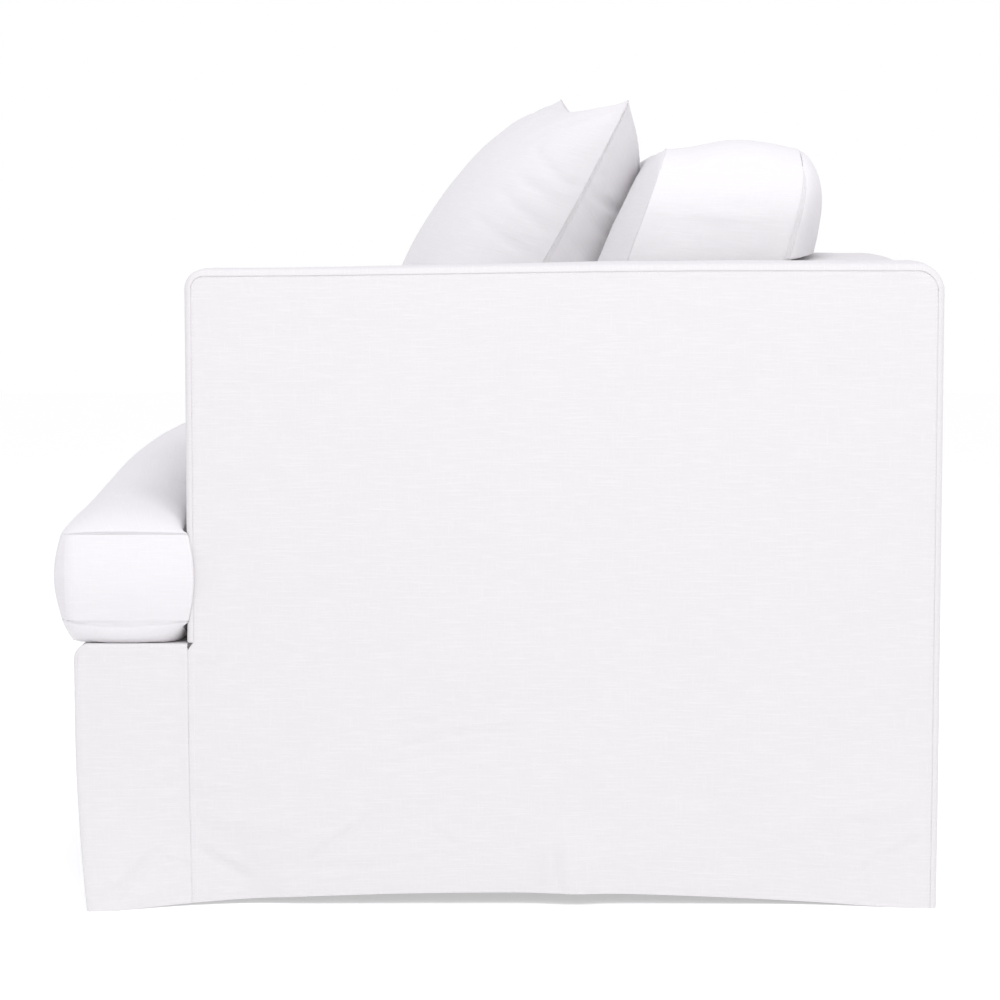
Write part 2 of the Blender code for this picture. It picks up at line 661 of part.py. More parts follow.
def build_back_cushion(name, pillow):
    """Boxed back cushion, pressed by the seat, the back and the pillow.

    It has sunk back without turning, so u is x, w goes straight up and t straight back.
    """
    foot_y, foot_z = BACK_CUSHION_FOOT
    wall_y = BACK_FRONT - CLEAR
    ledge_w = ARM_TOP + BACK_CROWN + LEDGE_CLEAR - foot_z
    half_height = BACK_CUSHION_HEIGHT / 2
    us = graded(BACK_CUSHION_HALF, EDGE_STEPS)
    rows = [w + half_height for w in graded(half_height, EDGE_STEPS)]
    ws = sorted(rows + [ledge_w, ledge_w + LEDGE_EASE / 2, ledge_w + LEDGE_EASE])
    inside = lambda u, w: abs(u) < BACK_CUSHION_HALF and 0 < w < BACK_CUSHION_HEIGHT
    skin = membrane(us, ws, inside)
    across, up, ahead = pillow_axes()
    corners = [((s * BACK_CUSHION_HALF, s), (BACK_CUSHION_HEIGHT, 1)) for s in (-1, 1)]
    front, rear = BACK_CUSHION_CROWN
    shoulder, reach = BACK_CUSHION_SHOULDER

    def front_face(u, w):
        flatter = 1.0 - BACK_CUSHION_ENDS * (u / BACK_CUSHION_HALF) ** 2
        return -front * flatter * filled(skin(u, w), CUSHION_FULLNESS)

    def rear_face(u, w):
        free = BACK_CUSHION_BOX + rear * filled(skin(u, w), CUSHION_FULLNESS)
        at_wall = wall_y - foot_y - w * BACK_CUSHION_SLOPE
        if free < at_wall:
            return free
        spread = 1.0 - (1.0 - min(max((w - ledge_w) / LEDGE_EASE, 0.0), 1.0)) ** 2
        return at_wall + (free - at_wall) * spread

    def boxing(share):
        def ring(u, w, out_u, out_w):
            push = BACK_CUSHION_BULGE * math.sin(math.pi * share) if 0 < share < 1 else 0.0
            if abs(out_u) > 0.9:
                push *= 0.5
            return u + push * out_u, w + push * out_w, BACK_CUSHION_BOX * share

        return ring

    def place(u, w, t):
        for corner in corners:
            u, w = round_corner(u, w, corner, BACK_CUSHION_CORNER)
        above = max(0.0, w - BACK_CUSHION_HEIGHT + shoulder) / shoulder
        t -= reach * above**2 * max(0.0, t / BACK_CUSHION_BOX - 0.4)
        point = np.array((u, foot_y + t + w * BACK_CUSHION_SLOPE, foot_z + max(w, 0.0)))
        near_ledge = smooth_step(1.0 - abs(w - ledge_w) / LEDGE_FADE)
        point[2] -= BACK_CROWN * (u / ARM_INNER) ** 2 * near_ledge * smooth_step(t / BACK_CUSHION_BOX)
        local = point - np.array(PILLOW_CENTRE)
        pillow_u, pillow_w, pillow_t = local @ across, local @ up, local @ ahead
        if max(abs(pillow_u), abs(pillow_w)) < PILLOW_HALF:
            behind = pillow_rear(pillow, pillow_u, pillow_w) - pillow_bow(pillow_u, pillow_w)
            point = point + ahead * min(0.0, behind - PILLOW_CLEAR - pillow_t)
        return tuple(point)

    rings = [boxing(share) for share in (0.0, 0.25, 0.5, 0.75, 1.0)]
    return cushion_solid(name, us, ws, inside, (front_face, rear_face), rings, place)


def clear_scene():
    """Remove whatever the open file holds."""
    for item in list(bpy.data.objects):
        bpy.data.objects.remove(item, do_unlink=True)


def main():
    """Build the frame cover and its cushions."""
    clear_scene()
    for word, side in (("left", -1), ("right", 1)):
        build_side_panel(f"side_panel_{word}", side)
        build_front_return(f"front_return_{word}", side)
        build_arm_strip(f"arm_strip_{word}", side)
        build_inside_arm(f"inside_arm_{word}", side)
    build_inside_back("inside_back")
    build_back_strip("back_strip")
    build_outside_back("outside_back")
    build_deck("deck")
    build_deck_front("deck_front")
    build_front_panel("front_panel")
    seat = membrane(*seat_lines(), in_seat)
    pillow = pillow_skin()
    build_seat_cushion("seat_cushion", seat)
    build_back_cushion("back_cushion", pillow)
    build_pillow("pillow", pillow, seat)


main()
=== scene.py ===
"""Looks of a fitted armchair cover with its covered seat cushion, back cushion and pillow.

Every piece stands for the solid of the same name. The cover's panels are thin sheets of slubby
linen-cotton that hang in the solids' folds, with finer creases, rolled seams and rows of stitches,
and the cushions are filled forms whose skins are blown up between their seams. Metres throughout.
"""

import logging  # noqa: E402
import math  # noqa: E402
from dataclasses import dataclass, field  # noqa: E402
from enum import Enum  # noqa: E402
from typing import Any, Callable, Optional, Sequence  # noqa: E402

import bpy  # noqa: E402
import numpy as np  # noqa: E402
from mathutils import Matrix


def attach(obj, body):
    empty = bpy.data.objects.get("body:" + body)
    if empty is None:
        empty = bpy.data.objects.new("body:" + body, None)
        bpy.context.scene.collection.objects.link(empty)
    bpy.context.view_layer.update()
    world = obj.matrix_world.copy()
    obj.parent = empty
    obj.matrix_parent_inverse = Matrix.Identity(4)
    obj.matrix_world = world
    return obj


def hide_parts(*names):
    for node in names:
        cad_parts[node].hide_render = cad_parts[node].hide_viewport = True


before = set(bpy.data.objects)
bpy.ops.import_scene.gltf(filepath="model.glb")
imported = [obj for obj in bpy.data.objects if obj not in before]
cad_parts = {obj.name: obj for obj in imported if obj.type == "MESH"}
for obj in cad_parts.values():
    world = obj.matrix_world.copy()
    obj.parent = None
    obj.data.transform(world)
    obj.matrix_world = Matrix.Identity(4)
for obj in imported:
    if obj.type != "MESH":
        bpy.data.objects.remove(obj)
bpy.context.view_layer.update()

LOG = logging.getLogger("slipcover")
MM = 0.001
Array = np.ndarray


class Held(Enum):
    """How a panel of the cover is held."""

    HUNG = "hung"
    STRETCHED = "stretched"


class CreaseForm(Enum):
    """Cross-section of a crease in the cloth."""

    TROUGH = "soft furrow"
    RIDGE = "soft ridge"
    PINCH = "sharp furrow between two low ridges"


class Side(Enum):
    """The two sides of the cover, as the sign of x."""

    LEFT = -1
    RIGHT = 1

    @property
    def word(self) -> str:
        """The side's name in the model's nodes."""
        return self.name.lower()


# Shapes in numbers


def smooth_step(value: Array) -> Array:
    """Ease from 0 to 1 as value goes from 0 to 1."""
    value = np.clip(value, 0.0, 1.0)
    return value * value * (3.0 - 2.0 * value)


def graded_line(start: float, end: float, step: float, near: Sequence[float] = ()) -> Array:
    """Places along a line, close together near both ends and even between.

    Args:
        start: First place.
        end: Last place.
        step: Largest distance between two places.
        near: Distances from each end that get a place of their own, ascending.

    Returns:
        The places, both ends included.
    """
    reach = near[-1] if near else 0.0
    count = max(2, 1 + round((end - start - 2 * reach) / step))
    middle = np.linspace(start + reach, end - reach, count)
    head = start + np.array(near[:-1] if near else [])
    tail = end - np.array(near[-2::-1] if near else [])
    return np.unique(np.round(np.concatenate(([start], head, middle, tail, [end])), 6))


def lattice(u: Array, v: Array, seed: int) -> Array:
    """Smooth random hills, about -1 to 1, with one hill for each unit of u and v."""
    cells = np.random.RandomState(seed).uniform(-1.0, 1.0, (64, 64))
    i, j = np.floor(u).astype(int), np.floor(v).astype(int)
    p, q = smooth_step(u - i), smooth_step(v - j)
    low = cells[i % 64, j % 64] * (1 - p) + cells[(i + 1) % 64, j % 64] * p
    high = cells[i % 64, (j + 1) % 64] * (1 - p) + cells[(i + 1) % 64, (j + 1) % 64] * p
    return low * (1 - q) + high * q


def drawn_thread(along: Array, seed: int) -> Array:
    """Uneven pull of a sewing thread along a seam, about -1 to 1, with puckers 8 to 15 mm apart."""
    wide = lattice(along / 0.034, np.zeros_like(along) + 0.5, seed)
    return lattice(along / 0.0062, wide * 0.4 + 2.5, seed + 1) * (0.65 + 0.5 * wide)


@dataclass(frozen=True)
class Crease:
    """Crease placed on a face, from start to end, in metres of that face."""

    start: tuple[float, float]
    end: tuple[float, float]
    depth: float
    half_width: float
    form: CreaseForm = CreaseForm.PINCH
    bow: float = 0.0

    def relief(self, a: Array, b: Array) -> Array:
        """How far the crease lifts the cloth.

        Args:
            a: First coordinate of the points on the face.
            b: Second coordinate.

        Returns:
            Outward relief in metres.
        """
        along = np.subtract(self.end, self.start)
        length = float(np.hypot(*along))
        da, db = a - self.start[0], b - self.start[1]
        t = (da * along[0] + db * along[1]) / length**2
        bend = self.bow * 4.0 * np.clip(t, 0.0, 1.0) * (1.0 - np.clip(t, 0.0, 1.0))
        across = (db * along[0] - da * along[1]) / length - bend
        taper = smooth_step(1.5 - 2.2 * np.abs(t - 0.5))
        x = across / (self.half_width * (1.0 + 0.5 * (1.0 - taper)))
        bell = np.exp(-(x**2))
        if self.form is CreaseForm.TROUGH:
            return -self.depth * taper * bell
        if self.form is CreaseForm.RIDGE:
            return self.depth * taper * bell
        return -self.depth * taper * (1.0 - 1.3 * x**2) * bell


@dataclass(frozen=True)
class Ripple:
    """Slack waves of pressed cloth, longer one way than the other."""

    long: float
    short: float
    height: float
    slant: float
    seed: int

    def relief(self, a: Array, b: Array) -> Array:
        """Outward relief in metres at the points a, b of a face."""
        u = a * math.cos(self.slant) + b * math.sin(self.slant)
        v = b * math.cos(self.slant) - a * math.sin(self.slant)
        broad = lattice(u / self.long + 7.3, v / self.short + 3.1, self.seed)
        fine = lattice(2.3 * u / self.long + 1.7, 2.1 * v / self.short + 8.2, self.seed + 5)
        return self.height * (broad + 0.45 * fine)


@dataclass(frozen=True)
class SeamRoll:
    """How cloth turns in at a seam and lies over its seam allowance."""

    depth: float = 0.22 * MM
    width: float = 1.6 * MM
    allowance: float = 0.25 * MM
    allowance_width: float = 6.0 * MM
    pucker: float = 0.24 * MM
    reach: float = 11.0 * MM

    def relief(self, distance: Array, along: Array, seed: int) -> Array:
        """Relief beside a seam.

        Args:
            distance: Distance of the points from the seam.
            along: Their place along it.
            seed: Seed of the uneven puckers.

        Returns:
            Outward relief in metres.
        """
        distance = np.maximum(distance, 0.0)
        roll = -self.depth * np.exp(-((distance / self.width) ** 2))
        over = self.allowance * smooth_step((self.allowance_width * 1.4 - distance) / (3 * MM))
        fade = np.exp(-((distance / self.reach) ** 2)) * smooth_step(distance / (1.5 * MM))
        return roll + over + self.pucker * drawn_thread(along, seed) * fade


# Colours and materials


def linear(colour: str) -> tuple[float, float, float, float]:
    """Turn an sRGB hex colour such as "#E0DFE2" into linear RGBA."""
    channels = [int(colour[i : i + 2], 16) / 255.0 for i in (1, 3, 5)]
    turned = [c / 12.92 if c <= 0.04045 else ((c + 0.055) / 1.055) ** 2.4 for c in channels]
    return (*turned, 1.0)


def add_node(
    tree: bpy.types.NodeTree,
    kind: str,
    settings: Optional[dict[str, Any]] = None,
    links: Optional[dict[Any, bpy.types.NodeSocket]] = None,
) -> bpy.types.Node:
    """Add a node to a material.

    Args:
        tree: The material's node tree.
        kind: The node's type, such as "ShaderNodeTexNoise".
        settings: Values by name: of an input socket, or else of the node's own property.
        links: Output sockets by the name or number of the input that they feed.

    Returns:
        The new node.
    """
    node = tree.nodes.new(kind)
    for name, value in (settings or {}).items():
        if isinstance(name, str) and hasattr(node, name):
            setattr(node, name, value)
        else:
            node.inputs[name].default_value = value
    for name, socket in (links or {}).items():
        tree.links.new(socket, node.inputs[name])
    return node


def remap(
    tree: bpy.types.NodeTree, value: bpy.types.NodeSocket, settings: dict[str, Any]
) -> bpy.types.NodeSocket:
    """Map a value from one range to another, both 0 to 1 where settings say nothing."""
    return add_node(tree, "ShaderNodeMapRange", settings, {"Value": value}).outputs["Result"]


def blend(
    tree: bpy.types.NodeTree, low: str, high: str, share: bpy.types.NodeSocket
) -> bpy.types.NodeSocket:
    """Colour between two hex colours."""
    settings = {"data_type": "RGBA", 6: linear(low), 7: linear(high)}
    return add_node(tree, "ShaderNodeMix", settings, {0: share}).outputs[2]


def new_material(
    name: str, settings: dict[str, Any]
) -> tuple[bpy.types.Material, bpy.types.NodeTree, bpy.types.Node]:
    """Start a material.

    Args:
        name: Its name.
        settings: Values of its shader's inputs.

    Returns:
        The material, its node tree and its shader.
    """
    material = bpy.data.materials.new(name)
    material.use_nodes = True
    shader = material.node_tree.nodes["Principled BSDF"]
    for key, value in settings.items():
        shader.inputs[key].default_value = value
    return material, material.node_tree, shader


def mottle(
    tree: bpy.types.NodeTree, shader: bpy.types.Node, scale: float, detail: float,
    dark: str, lit: str,
) -> None:
    """Colour a shader by noise that is fixed to the object."""
    place = add_node(tree, "ShaderNodeTexCoord").outputs["Object"]
    noise = add_node(
        tree, "ShaderNodeTexNoise", {"Scale": scale, "Detail": detail}, {"Vector": place}
    )
    tree.links.new(blend(tree, dark, lit, noise.outputs["Fac"]), shader.inputs["Base Color"])


@dataclass(frozen=True)
class SlubLinen:
    """Washed and pressed linen-cotton, plain woven, with slubs in its weft.

    Its threads are about 0.6 mm apart, too fine for a picture of the whole cover, so the weave is
    drawn three times as coarse. The slubs have about their real size, 35 mm long and 2 mm thick.
    The eye gets a dry white cloth with faint level streaks and a soft bloom at its edges.
    """

    name: str
    lit: str
    hollow: str
    thread_mm: float = 1.8
    slub_long_mm: float = 34.0
    slub_thick_mm: float = 2.2
    slub_height_mm: float = 0.05
    weave_height_mm: float = 0.04
    wrinkle_height_mm: float = 0.55
    sheen: float = 0.12

    def build(self) -> bpy.types.Material:
        """Make the cloth's material."""
        material, tree, shader = new_material(
            self.name,
            {"Sheen Weight": self.sheen, "Sheen Roughness": 0.5, "Specular IOR Level": 0.25},
        )
        place = add_node(tree, "ShaderNodeAttribute", {"attribute_name": "weave"})
        per_mm = {"Vector": place.outputs["Vector"]}

        def thread_noise(weft_mm: float, warp_mm: float, detail: float) -> bpy.types.Node:
            """Noise whose hills are so many millimetres long in the weft and in the warp."""
            size = (1000.0 / weft_mm, 1000.0 / warp_mm, 0.0)
            scaled = add_node(tree, "ShaderNodeMapping", {"Scale": size}, per_mm)
            settings = {"Scale": 1.0, "Detail": detail, "Roughness": 0.55}
            return add_node(
                tree, "ShaderNodeTexNoise", settings, {"Vector": scaled.outputs["Vector"]}
            )

        slubs = thread_noise(self.slub_long_mm, self.slub_thick_mm, 2.0)
        warp = thread_noise(self.slub_thick_mm * 1.1, self.slub_long_mm * 0.7, 1.0)
        weave = thread_noise(self.thread_mm * 2.2, self.thread_mm, 1.0)
        patches = thread_noise(90.0, 70.0, 3.0)
        wrinkle = thread_noise(60.0, 26.0, 2.5)
        thick = remap(tree, slubs.outputs["Fac"], {"From Min": 0.50, "From Max": 0.74})
        cross = remap(
            tree, warp.outputs["Fac"], {"From Min": 0.54, "From Max": 0.80, "To Max": 0.6}
        )
        raised = add_node(
            tree, "ShaderNodeMath", {"operation": "MAXIMUM"}, {0: thick, 1: cross}
        ).outputs["Value"]
        tone = raised
        for noise, share in ((weave, 0.45), (patches, 0.30)):
            tone = add_node(
                tree, "ShaderNodeMath", {"operation": "MULTIPLY_ADD", 1: share},
                {0: noise.outputs["Fac"], 2: tone},
            ).outputs["Value"]
        colour = remap(tree, tone, {"From Min": 0.15, "From Max": 0.95})
        rough = remap(tree, raised, {"To Min": 0.96, "To Max": 0.84})
        under: dict[str, bpy.types.NodeSocket] = {}
        for height, height_mm in (
            (wrinkle.outputs["Fac"], self.wrinkle_height_mm),
            (weave.outputs["Fac"], self.weave_height_mm),
            (raised, self.slub_height_mm),
        ):
            bump = add_node(
                tree, "ShaderNodeBump",
                {"Strength": 1.0, "Distance": height_mm * MM}, {"Height": height, **under},
            )
            under = {"Normal": bump.outputs["Normal"]}
        mixed = blend(tree, self.hollow, self.lit, colour)
        tree.links.new(mixed, shader.inputs["Base Color"])
        tree.links.new(rough, shader.inputs["Roughness"])
        tree.links.new(under["Normal"], shader.inputs["Normal"])
        return material


@dataclass(frozen=True)
class SewingThread:
    """Spun polyester sewing thread, 0.5 mm thick, which shows as small dull beads."""

    name: str
    lit: str
    dark: str
    twist_mm: float = 0.8

    def build(self) -> bpy.types.Material:
        """Make the thread's material."""
        material, tree, shader = new_material(self.name, {"Roughness": 0.7})
        mottle(tree, shader, 1000.0 / self.twist_mm, 1.0, self.dark, self.lit)
        return material


@dataclass(frozen=True)
class StudioPaper:
    """Seamless paper on the studio's floor, matt and faintly fibrous, lit to plain white."""

    name: str
    lit: str
    dark: str
    glow: float

    def build(self) -> bpy.types.Material:
        """Make the paper's material."""
        material, tree, shader = new_material(self.name, {
            "Roughness": 0.95, "Specular IOR Level": 0.1,
            "Emission Color": (1.0, 1.0, 1.0, 1.0), "Emission Strength": self.glow,
        })
        mottle(tree, shader, 6.0, 4.0, self.dark, self.lit)
        return material


COVER_LINEN = SlubLinen("slub_linen_cotton_cover", lit="#D9D7D8", hollow="#D5D3D4")
# Painted light: the inside faces are the cover's own linen-cotton, coloured lighter to make up for
# the shade of the seat well.
INNER_LINEN_PAINTED_LIGHTER = SlubLinen("slub_linen_cotton_inside_painted_lighter", lit="#E3E1E3", hollow="#DFDDDF")
# Painted light: the cushions are covered in the cover's own linen-cotton, coloured lighter to make
# up for the light they get less of than the cover's sides.
CUSHION_LINEN_PAINTED_LIGHTER = SlubLinen(
    "slub_linen_cotton_cushion_painted_lighter", lit="#DFDDDF", hollow="#DCDADC", wrinkle_height_mm=0.7
)
THREAD = SewingThread("spun_sewing_thread", lit="#E7E6E9", dark="#D9D7DB")
PAPER = StudioPaper("seamless_studio_paper", lit="#E8E8E8", dark="#E4E4E4", glow=0.36)


# The cover as it hangs


@dataclass(frozen=True)
class Flare:
    """Outward push of the hem at a corner."""

    x: float
    y: float
    push_x: float
    push_y: float
    reach: float


@dataclass(frozen=True)
class HangingFold:
    """Large soft fold of a side panel, in y and z."""

    side: Side
    y0: float
    z0: float
    y1: float
    z1: float
    half_width: float
    depth: float


@dataclass(frozen=True)
class CoverPlan:
    """Sizes of the cover, measured over the cloth."""

    half_width: float = 0.510
    arm_width: float = 0.168
    arm_top: float = 0.6945
    arm_front: float = -0.3345
    base_front: float = -0.457
    back: float = 0.4795
    back_depth: float = 0.150
    deck: float = 0.285
    cloth: float = 2.0 * MM
    gap: float = 0.04 * MM
    arm_edge: float = 7.0 * MM
    base_edge: float = 4.0 * MM
    arm_front_radius: float = 21.0 * MM
    rear_top_radius: float = 30.0 * MM
    nose_radius: float = 16.0 * MM
    lower_seam: float = -0.334
    arm_crown: float = 4.0 * MM
    arm_dip: float = 6.0 * MM
    back_crown: float = 14.3 * MM
    hem_lift: float = 14.0 * MM
    lift_reach: float = 0.26
    flare_height: float = 0.21
    flares: tuple[Flare, ...] = (
        Flare(0.510, -0.457, 0.036, 0.016, 0.095),
        Flare(-0.510, -0.457, -0.036, 0.013, 0.110),
        Flare(0.510, 0.4795, 0.021, -0.004, 0.100),
        Flare(-0.510, 0.4795, -0.019, -0.005, 0.115),
    )
    folds: tuple[HangingFold, ...] = (
        HangingFold(Side.RIGHT, 0.085, -0.05, 0.078, 0.075, 0.030, 0.007),
        HangingFold(Side.RIGHT, -0.330, 0.090, -0.245, -0.020, 0.035, -0.004),
        HangingFold(Side.RIGHT, 0.440, 0.110, 0.300, 0.080, 0.035, 0.003),
        HangingFold(Side.RIGHT, -0.120, 0.185, 0.050, 0.205, 0.045, -0.002),
        HangingFold(Side.LEFT, 0.020, -0.05, 0.035, 0.090, 0.032, 0.006),
        HangingFold(Side.LEFT, -0.300, 0.110, -0.210, -0.010, 0.038, -0.004),
        HangingFold(Side.LEFT, 0.420, 0.130, 0.310, 0.090, 0.035, 0.003),
    )

    @property
    def arm_inner(self) -> float:
        """Distance of an arm's inner face from the middle."""
        return self.half_width - self.arm_width

    @property
    def back_front(self) -> float:
        """Front face of the cover's back."""
        return self.back - self.back_depth

    def fold_push(self, x: Array, y: Array, z: Array) -> Array:
        """Outward push of the large folds at points of the side panels."""
        push = np.zeros_like(y)
        for fold in self.folds:
            along = (fold.y1 - fold.y0, fold.z1 - fold.z0)
            length = math.hypot(*along)
            t = ((y - fold.y0) * along[0] + (z - fold.z0) * along[1]) / length**2
            across = ((y - fold.y0) * along[1] - (z - fold.z0) * along[0]) / length
            taper = smooth_step(1.5 - 2.0 * np.abs(t - 0.5))
            bell = np.exp(-((across / fold.half_width) ** 2))
            push += np.where(x * fold.side.value > 0, fold.depth * taper * bell, 0.0)
        return push

    def crown_rise(self, x: Array, y: Array, z: Array) -> Array:
        """Rise of the soft tops of the arms and the back, less the arms' dip at the front."""
        near_top = smooth_step((z - self.arm_top + 0.030) / 0.028)
        rearward = smooth_step((y - self.arm_front) / 0.60)
        low = self.deck + 0.05
        dip = self.arm_dip * (1 - rearward) * smooth_step((z - low) / (self.arm_top - low))
        across = (np.abs(x) - self.arm_inner) / self.arm_width
        crown = self.arm_crown * (0.3 + 0.7 * rearward) * 4.0 * across * (1.0 - across)
        back = near_top * self.back_crown * (1.0 - (x / self.arm_inner) ** 2)
        inner = np.where(y > self.back_front - 0.001, back, -dip)
        return np.where(np.abs(x) > self.arm_inner, near_top * crown - dip, inner)

    def drape(self, points: Array) -> Array:
        """Move points of the plain box to where the hung cloth has them.

        Args:
            points: Points, their last axis x, y and z.

        Returns:
            The moved points, of the same shape.
        """
        x, y, z = points[..., 0], points[..., 1], points[..., 2]
        fall = np.maximum(0.0, 1.0 - z / self.flare_height) ** 2
        lift = self.hem_lift * fall
        move_x, move_y = np.zeros_like(x), np.zeros_like(x)
        for flare in self.flares:
            away = np.hypot(x - flare.x, y - flare.y)
            weight = np.exp(-((away / flare.reach) ** 2)) * fall
            move_x += flare.push_x * weight
            move_y += flare.push_y * weight
            lift = lift * (1.0 - np.exp(-((away / self.lift_reach) ** 2)))
        outer = smooth_step((np.abs(x) - self.half_width + 0.012) / 0.010)
        below = smooth_step((self.deck - 0.010 - z) / 0.030)
        move_x += np.sign(x) * self.fold_push(x, y, z) * outer * below
        rise = lift + self.crown_rise(x, y, z)
        return np.stack((x + move_x, y + move_y, z + rise), axis=-1)


PLAN = CoverPlan()


# Meshes


def grid_quads(start: int, rows: int, columns: int, flip: bool) -> Array:
    """Quads of a grid of vertices that are numbered row by row from start."""
    index = start + np.arange(rows * columns).reshape(rows, columns)
    ring = (index[:-1, :-1], index[:-1, 1:], index[1:, 1:], index[1:, :-1])
    quads = np.stack(ring, axis=-1).reshape(-1, 4)
    return quads[:, ::-1] if flip else quads


def make_piece(
    name: str,
    points: Array,
    faces: Sequence[Sequence[int]],
    finish: bpy.types.Material,
    weave: Optional[Array] = None,
    sharp_degrees: float = 55.0,
) -> bpy.types.Object:
    """Make an object of a mesh and dress it.

    Args:
        name: The piece's name.
        points: Its vertices.
        faces: Its faces, as vertex numbers.
        finish: Its material.
        weave: Place of each vertex in the cloth's weave, in metres of weft and warp.
        sharp_degrees: Angle over which an edge stays sharp.

    Returns:
        The object, linked to the scene.
    """
    mesh = bpy.data.meshes.new(name)
    mesh.from_pydata(points.reshape(-1, 3).tolist(), [], [list(map(int, f)) for f in faces])
    mesh.update()
    if weave is not None:
        place = mesh.attributes.new("weave", "FLOAT_VECTOR", "POINT")
        flat = np.concatenate((weave, np.zeros((len(weave), 1))), axis=1)
        place.data.foreach_set("vector", flat.astype(np.float32).ravel())
    mesh.shade_smooth()
    mesh.set_sharp_from_angle(angle=math.radians(sharp_degrees))
    mesh.materials.append(finish)
    piece = bpy.data.objects.new(name, mesh)
    bpy.context.scene.collection.objects.link(piece)
    return piece


@dataclass
class Patch:
    """Fine grid of a panel's outer face, in the plain box, before it is draped."""

    points: Array
    outward: Array
    weft: Array
    warp: Array
    relief: Array

    def face(self, plan: CoverPlan, depth: float = 0.0) -> Array:
        """Draped points of the face, or of a level at a depth into the cloth."""
        return plan.drape(self.points + self.outward * (self.relief - depth)[..., None])


@dataclass(frozen=True)
class ClothCutter:
    """Turns patches into closed, thin sheets of cloth and logs each one's name and face count."""

    plan: CoverPlan
    finish: bpy.types.Material

    def sheet(
        self,
        node: str,
        patch: Patch,
        held: Held,
        flat: tuple[float, float],
        slot: str = "cover_cloth",
        stitches: Sequence[bpy.types.Object] = (),
    ) -> None:
        """Make one panel of the cover.

        Args:
            node: The solid that the panel stands for.
            patch: Its outer face.
            held: How it is held; not used.
            flat: Width and length to which it was cut, seam allowances included; not used.
            slot: Material slot; not used.
            stitches: Rows of stitches on it; not used.
        """
        rows, columns = patch.relief.shape
        outer = patch.face(self.plan).reshape(-1, 3)
        inner = patch.face(self.plan, self.plan.cloth).reshape(-1, 3)
        index = np.arange(rows * columns).reshape(rows, columns)
        rim = np.concatenate(
            (index[0, :], index[1:, -1], index[-1, -2::-1], index[-2:0:-1, 0])
        )
        middle = rows // 2, columns // 2
        a = outer[index[middle[0] + 1, middle[1]]] - outer[index[middle]]
        b = outer[index[middle[0], middle[1] + 1]] - outer[index[middle]]
        flip = float(np.dot(np.cross(b, a), patch.outward[middle])) < 0.0
        after = np.roll(rim, -1)
        count = rows * columns
        edge = np.stack((rim, rim + count, after + count, after), axis=-1)
        edge = edge[:, ::-1] if flip else edge
        faces = np.concatenate(
            (
                grid_quads(0, rows, columns, flip),
                grid_quads(count, rows, columns, not flip),
                edge,
            )
        )
        weave = np.stack((patch.weft, patch.warp), axis=-1).reshape(-1, 2)
        piece = make_piece(
            f"{node}_linen", np.concatenate((outer, inner)), faces, self.finish,
            np.concatenate((weave, weave)),
        )
        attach(piece, "root")
        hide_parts(node)
        LOG.info("%s: %d faces", piece.name, len(faces))


@dataclass(frozen=True)
class StitchRow:
    """Row of lockstitches along a path on the cloth."""

    path: Array
    outward: Array
    pitch: float = 3.8 * MM
    length: float = 3.1 * MM
    thickness: float = 0.5 * MM

    def beads(self) -> tuple[Array, Array]:
        """Low six-sided beads, one a stitch.

        Returns:
            The beads' points and faces.
        """
        steps = np.linalg.norm(np.diff(self.path, axis=0), axis=1)
        reach = np.concatenate(([0.0], np.cumsum(steps)))
        count = int(reach[-1] / self.pitch)
        centres = (np.arange(count) + 0.5) * self.pitch

        def sample(values: Array, places: Array) -> Array:
            """Rows of x, y and z at places along the path."""
            return np.stack([np.interp(places, reach, values[:, k]) for k in range(3)], -1)

        at, out = sample(self.path, centres), sample(self.outward, centres)
        along = sample(self.path, centres + MM) - sample(self.path, centres - MM)
        along /= np.linalg.norm(along, axis=1)[:, None]
        out /= np.linalg.norm(out, axis=1)[:, None]
        across = np.cross(along, out)
        turn = np.arange(6) * math.pi / 3
        radius = self.thickness / 2
        shape = [(-self.length / 2, 0.0, -radius * 0.6)]
        for place in (-0.28, 0.28):
            ring = zip(np.cos(turn) * radius, np.sin(turn) * radius)
            shape += [(place * self.length, c, s) for c, s in ring]
        shape.append((self.length / 2, 0.0, -radius * 0.6))
        shape = np.array(shape)
        points = (
            at[:, None, :]
            + along[:, None, :] * shape[None, :, :1]
            + across[:, None, :] * shape[None, :, 1:2]
            + out[:, None, :] * shape[None, :, 2:]
        )
        faces = []
        for k in range(6):
            n = (k + 1) % 6
            faces += [(0, 1 + n, 1 + k), (1 + k, 1 + n, 7 + n), (1 + k, 7 + n, 7 + k)]
            faces.append((13, 7 + k, 7 + n))
        faces = np.array(faces)[None] + 14 * np.arange(count)[:, None, None]
        return points.reshape(-1, 3), faces.reshape(-1, 3)


def sew(name: str, rows: Sequence[StitchRow], thread: bpy.types.Material) -> bpy.types.Object:
    """Make one piece of several rows of stitches.

    Args:
        name: The piece's name.
        rows: The rows.
        thread: Their material.

    Returns:
        The piece, which rides on the cover.
    """
    points, faces, start = [], [], 0
    for row in rows:
        some, quads = row.beads()
        points.append(some)
        faces.append(quads + start)
        start += len(some)
    piece = make_piece(name, np.concatenate(points), np.concatenate(faces), thread)
    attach(piece, "root")
    LOG.info("%s: %d stitches", name, start // 14)
    return piece


# Panels in one plane


SEAM_STEPS = tuple(MM * d for d in (0.7, 1.5, 2.4, 3.5, 5.0, 7.0, 9.5, 12.5))


def side_patch(x: float, faces: int, a: Array, b: Array, relief: Array) -> Patch:
    """Patch of an upright face at one x that faces +X or, with faces -1, -X."""
    outward = np.zeros((*a.shape, 3))
    outward[..., 0] = faces
    return Patch(np.stack((np.full_like(a, x), a, b), axis=-1), outward, a, b, relief)


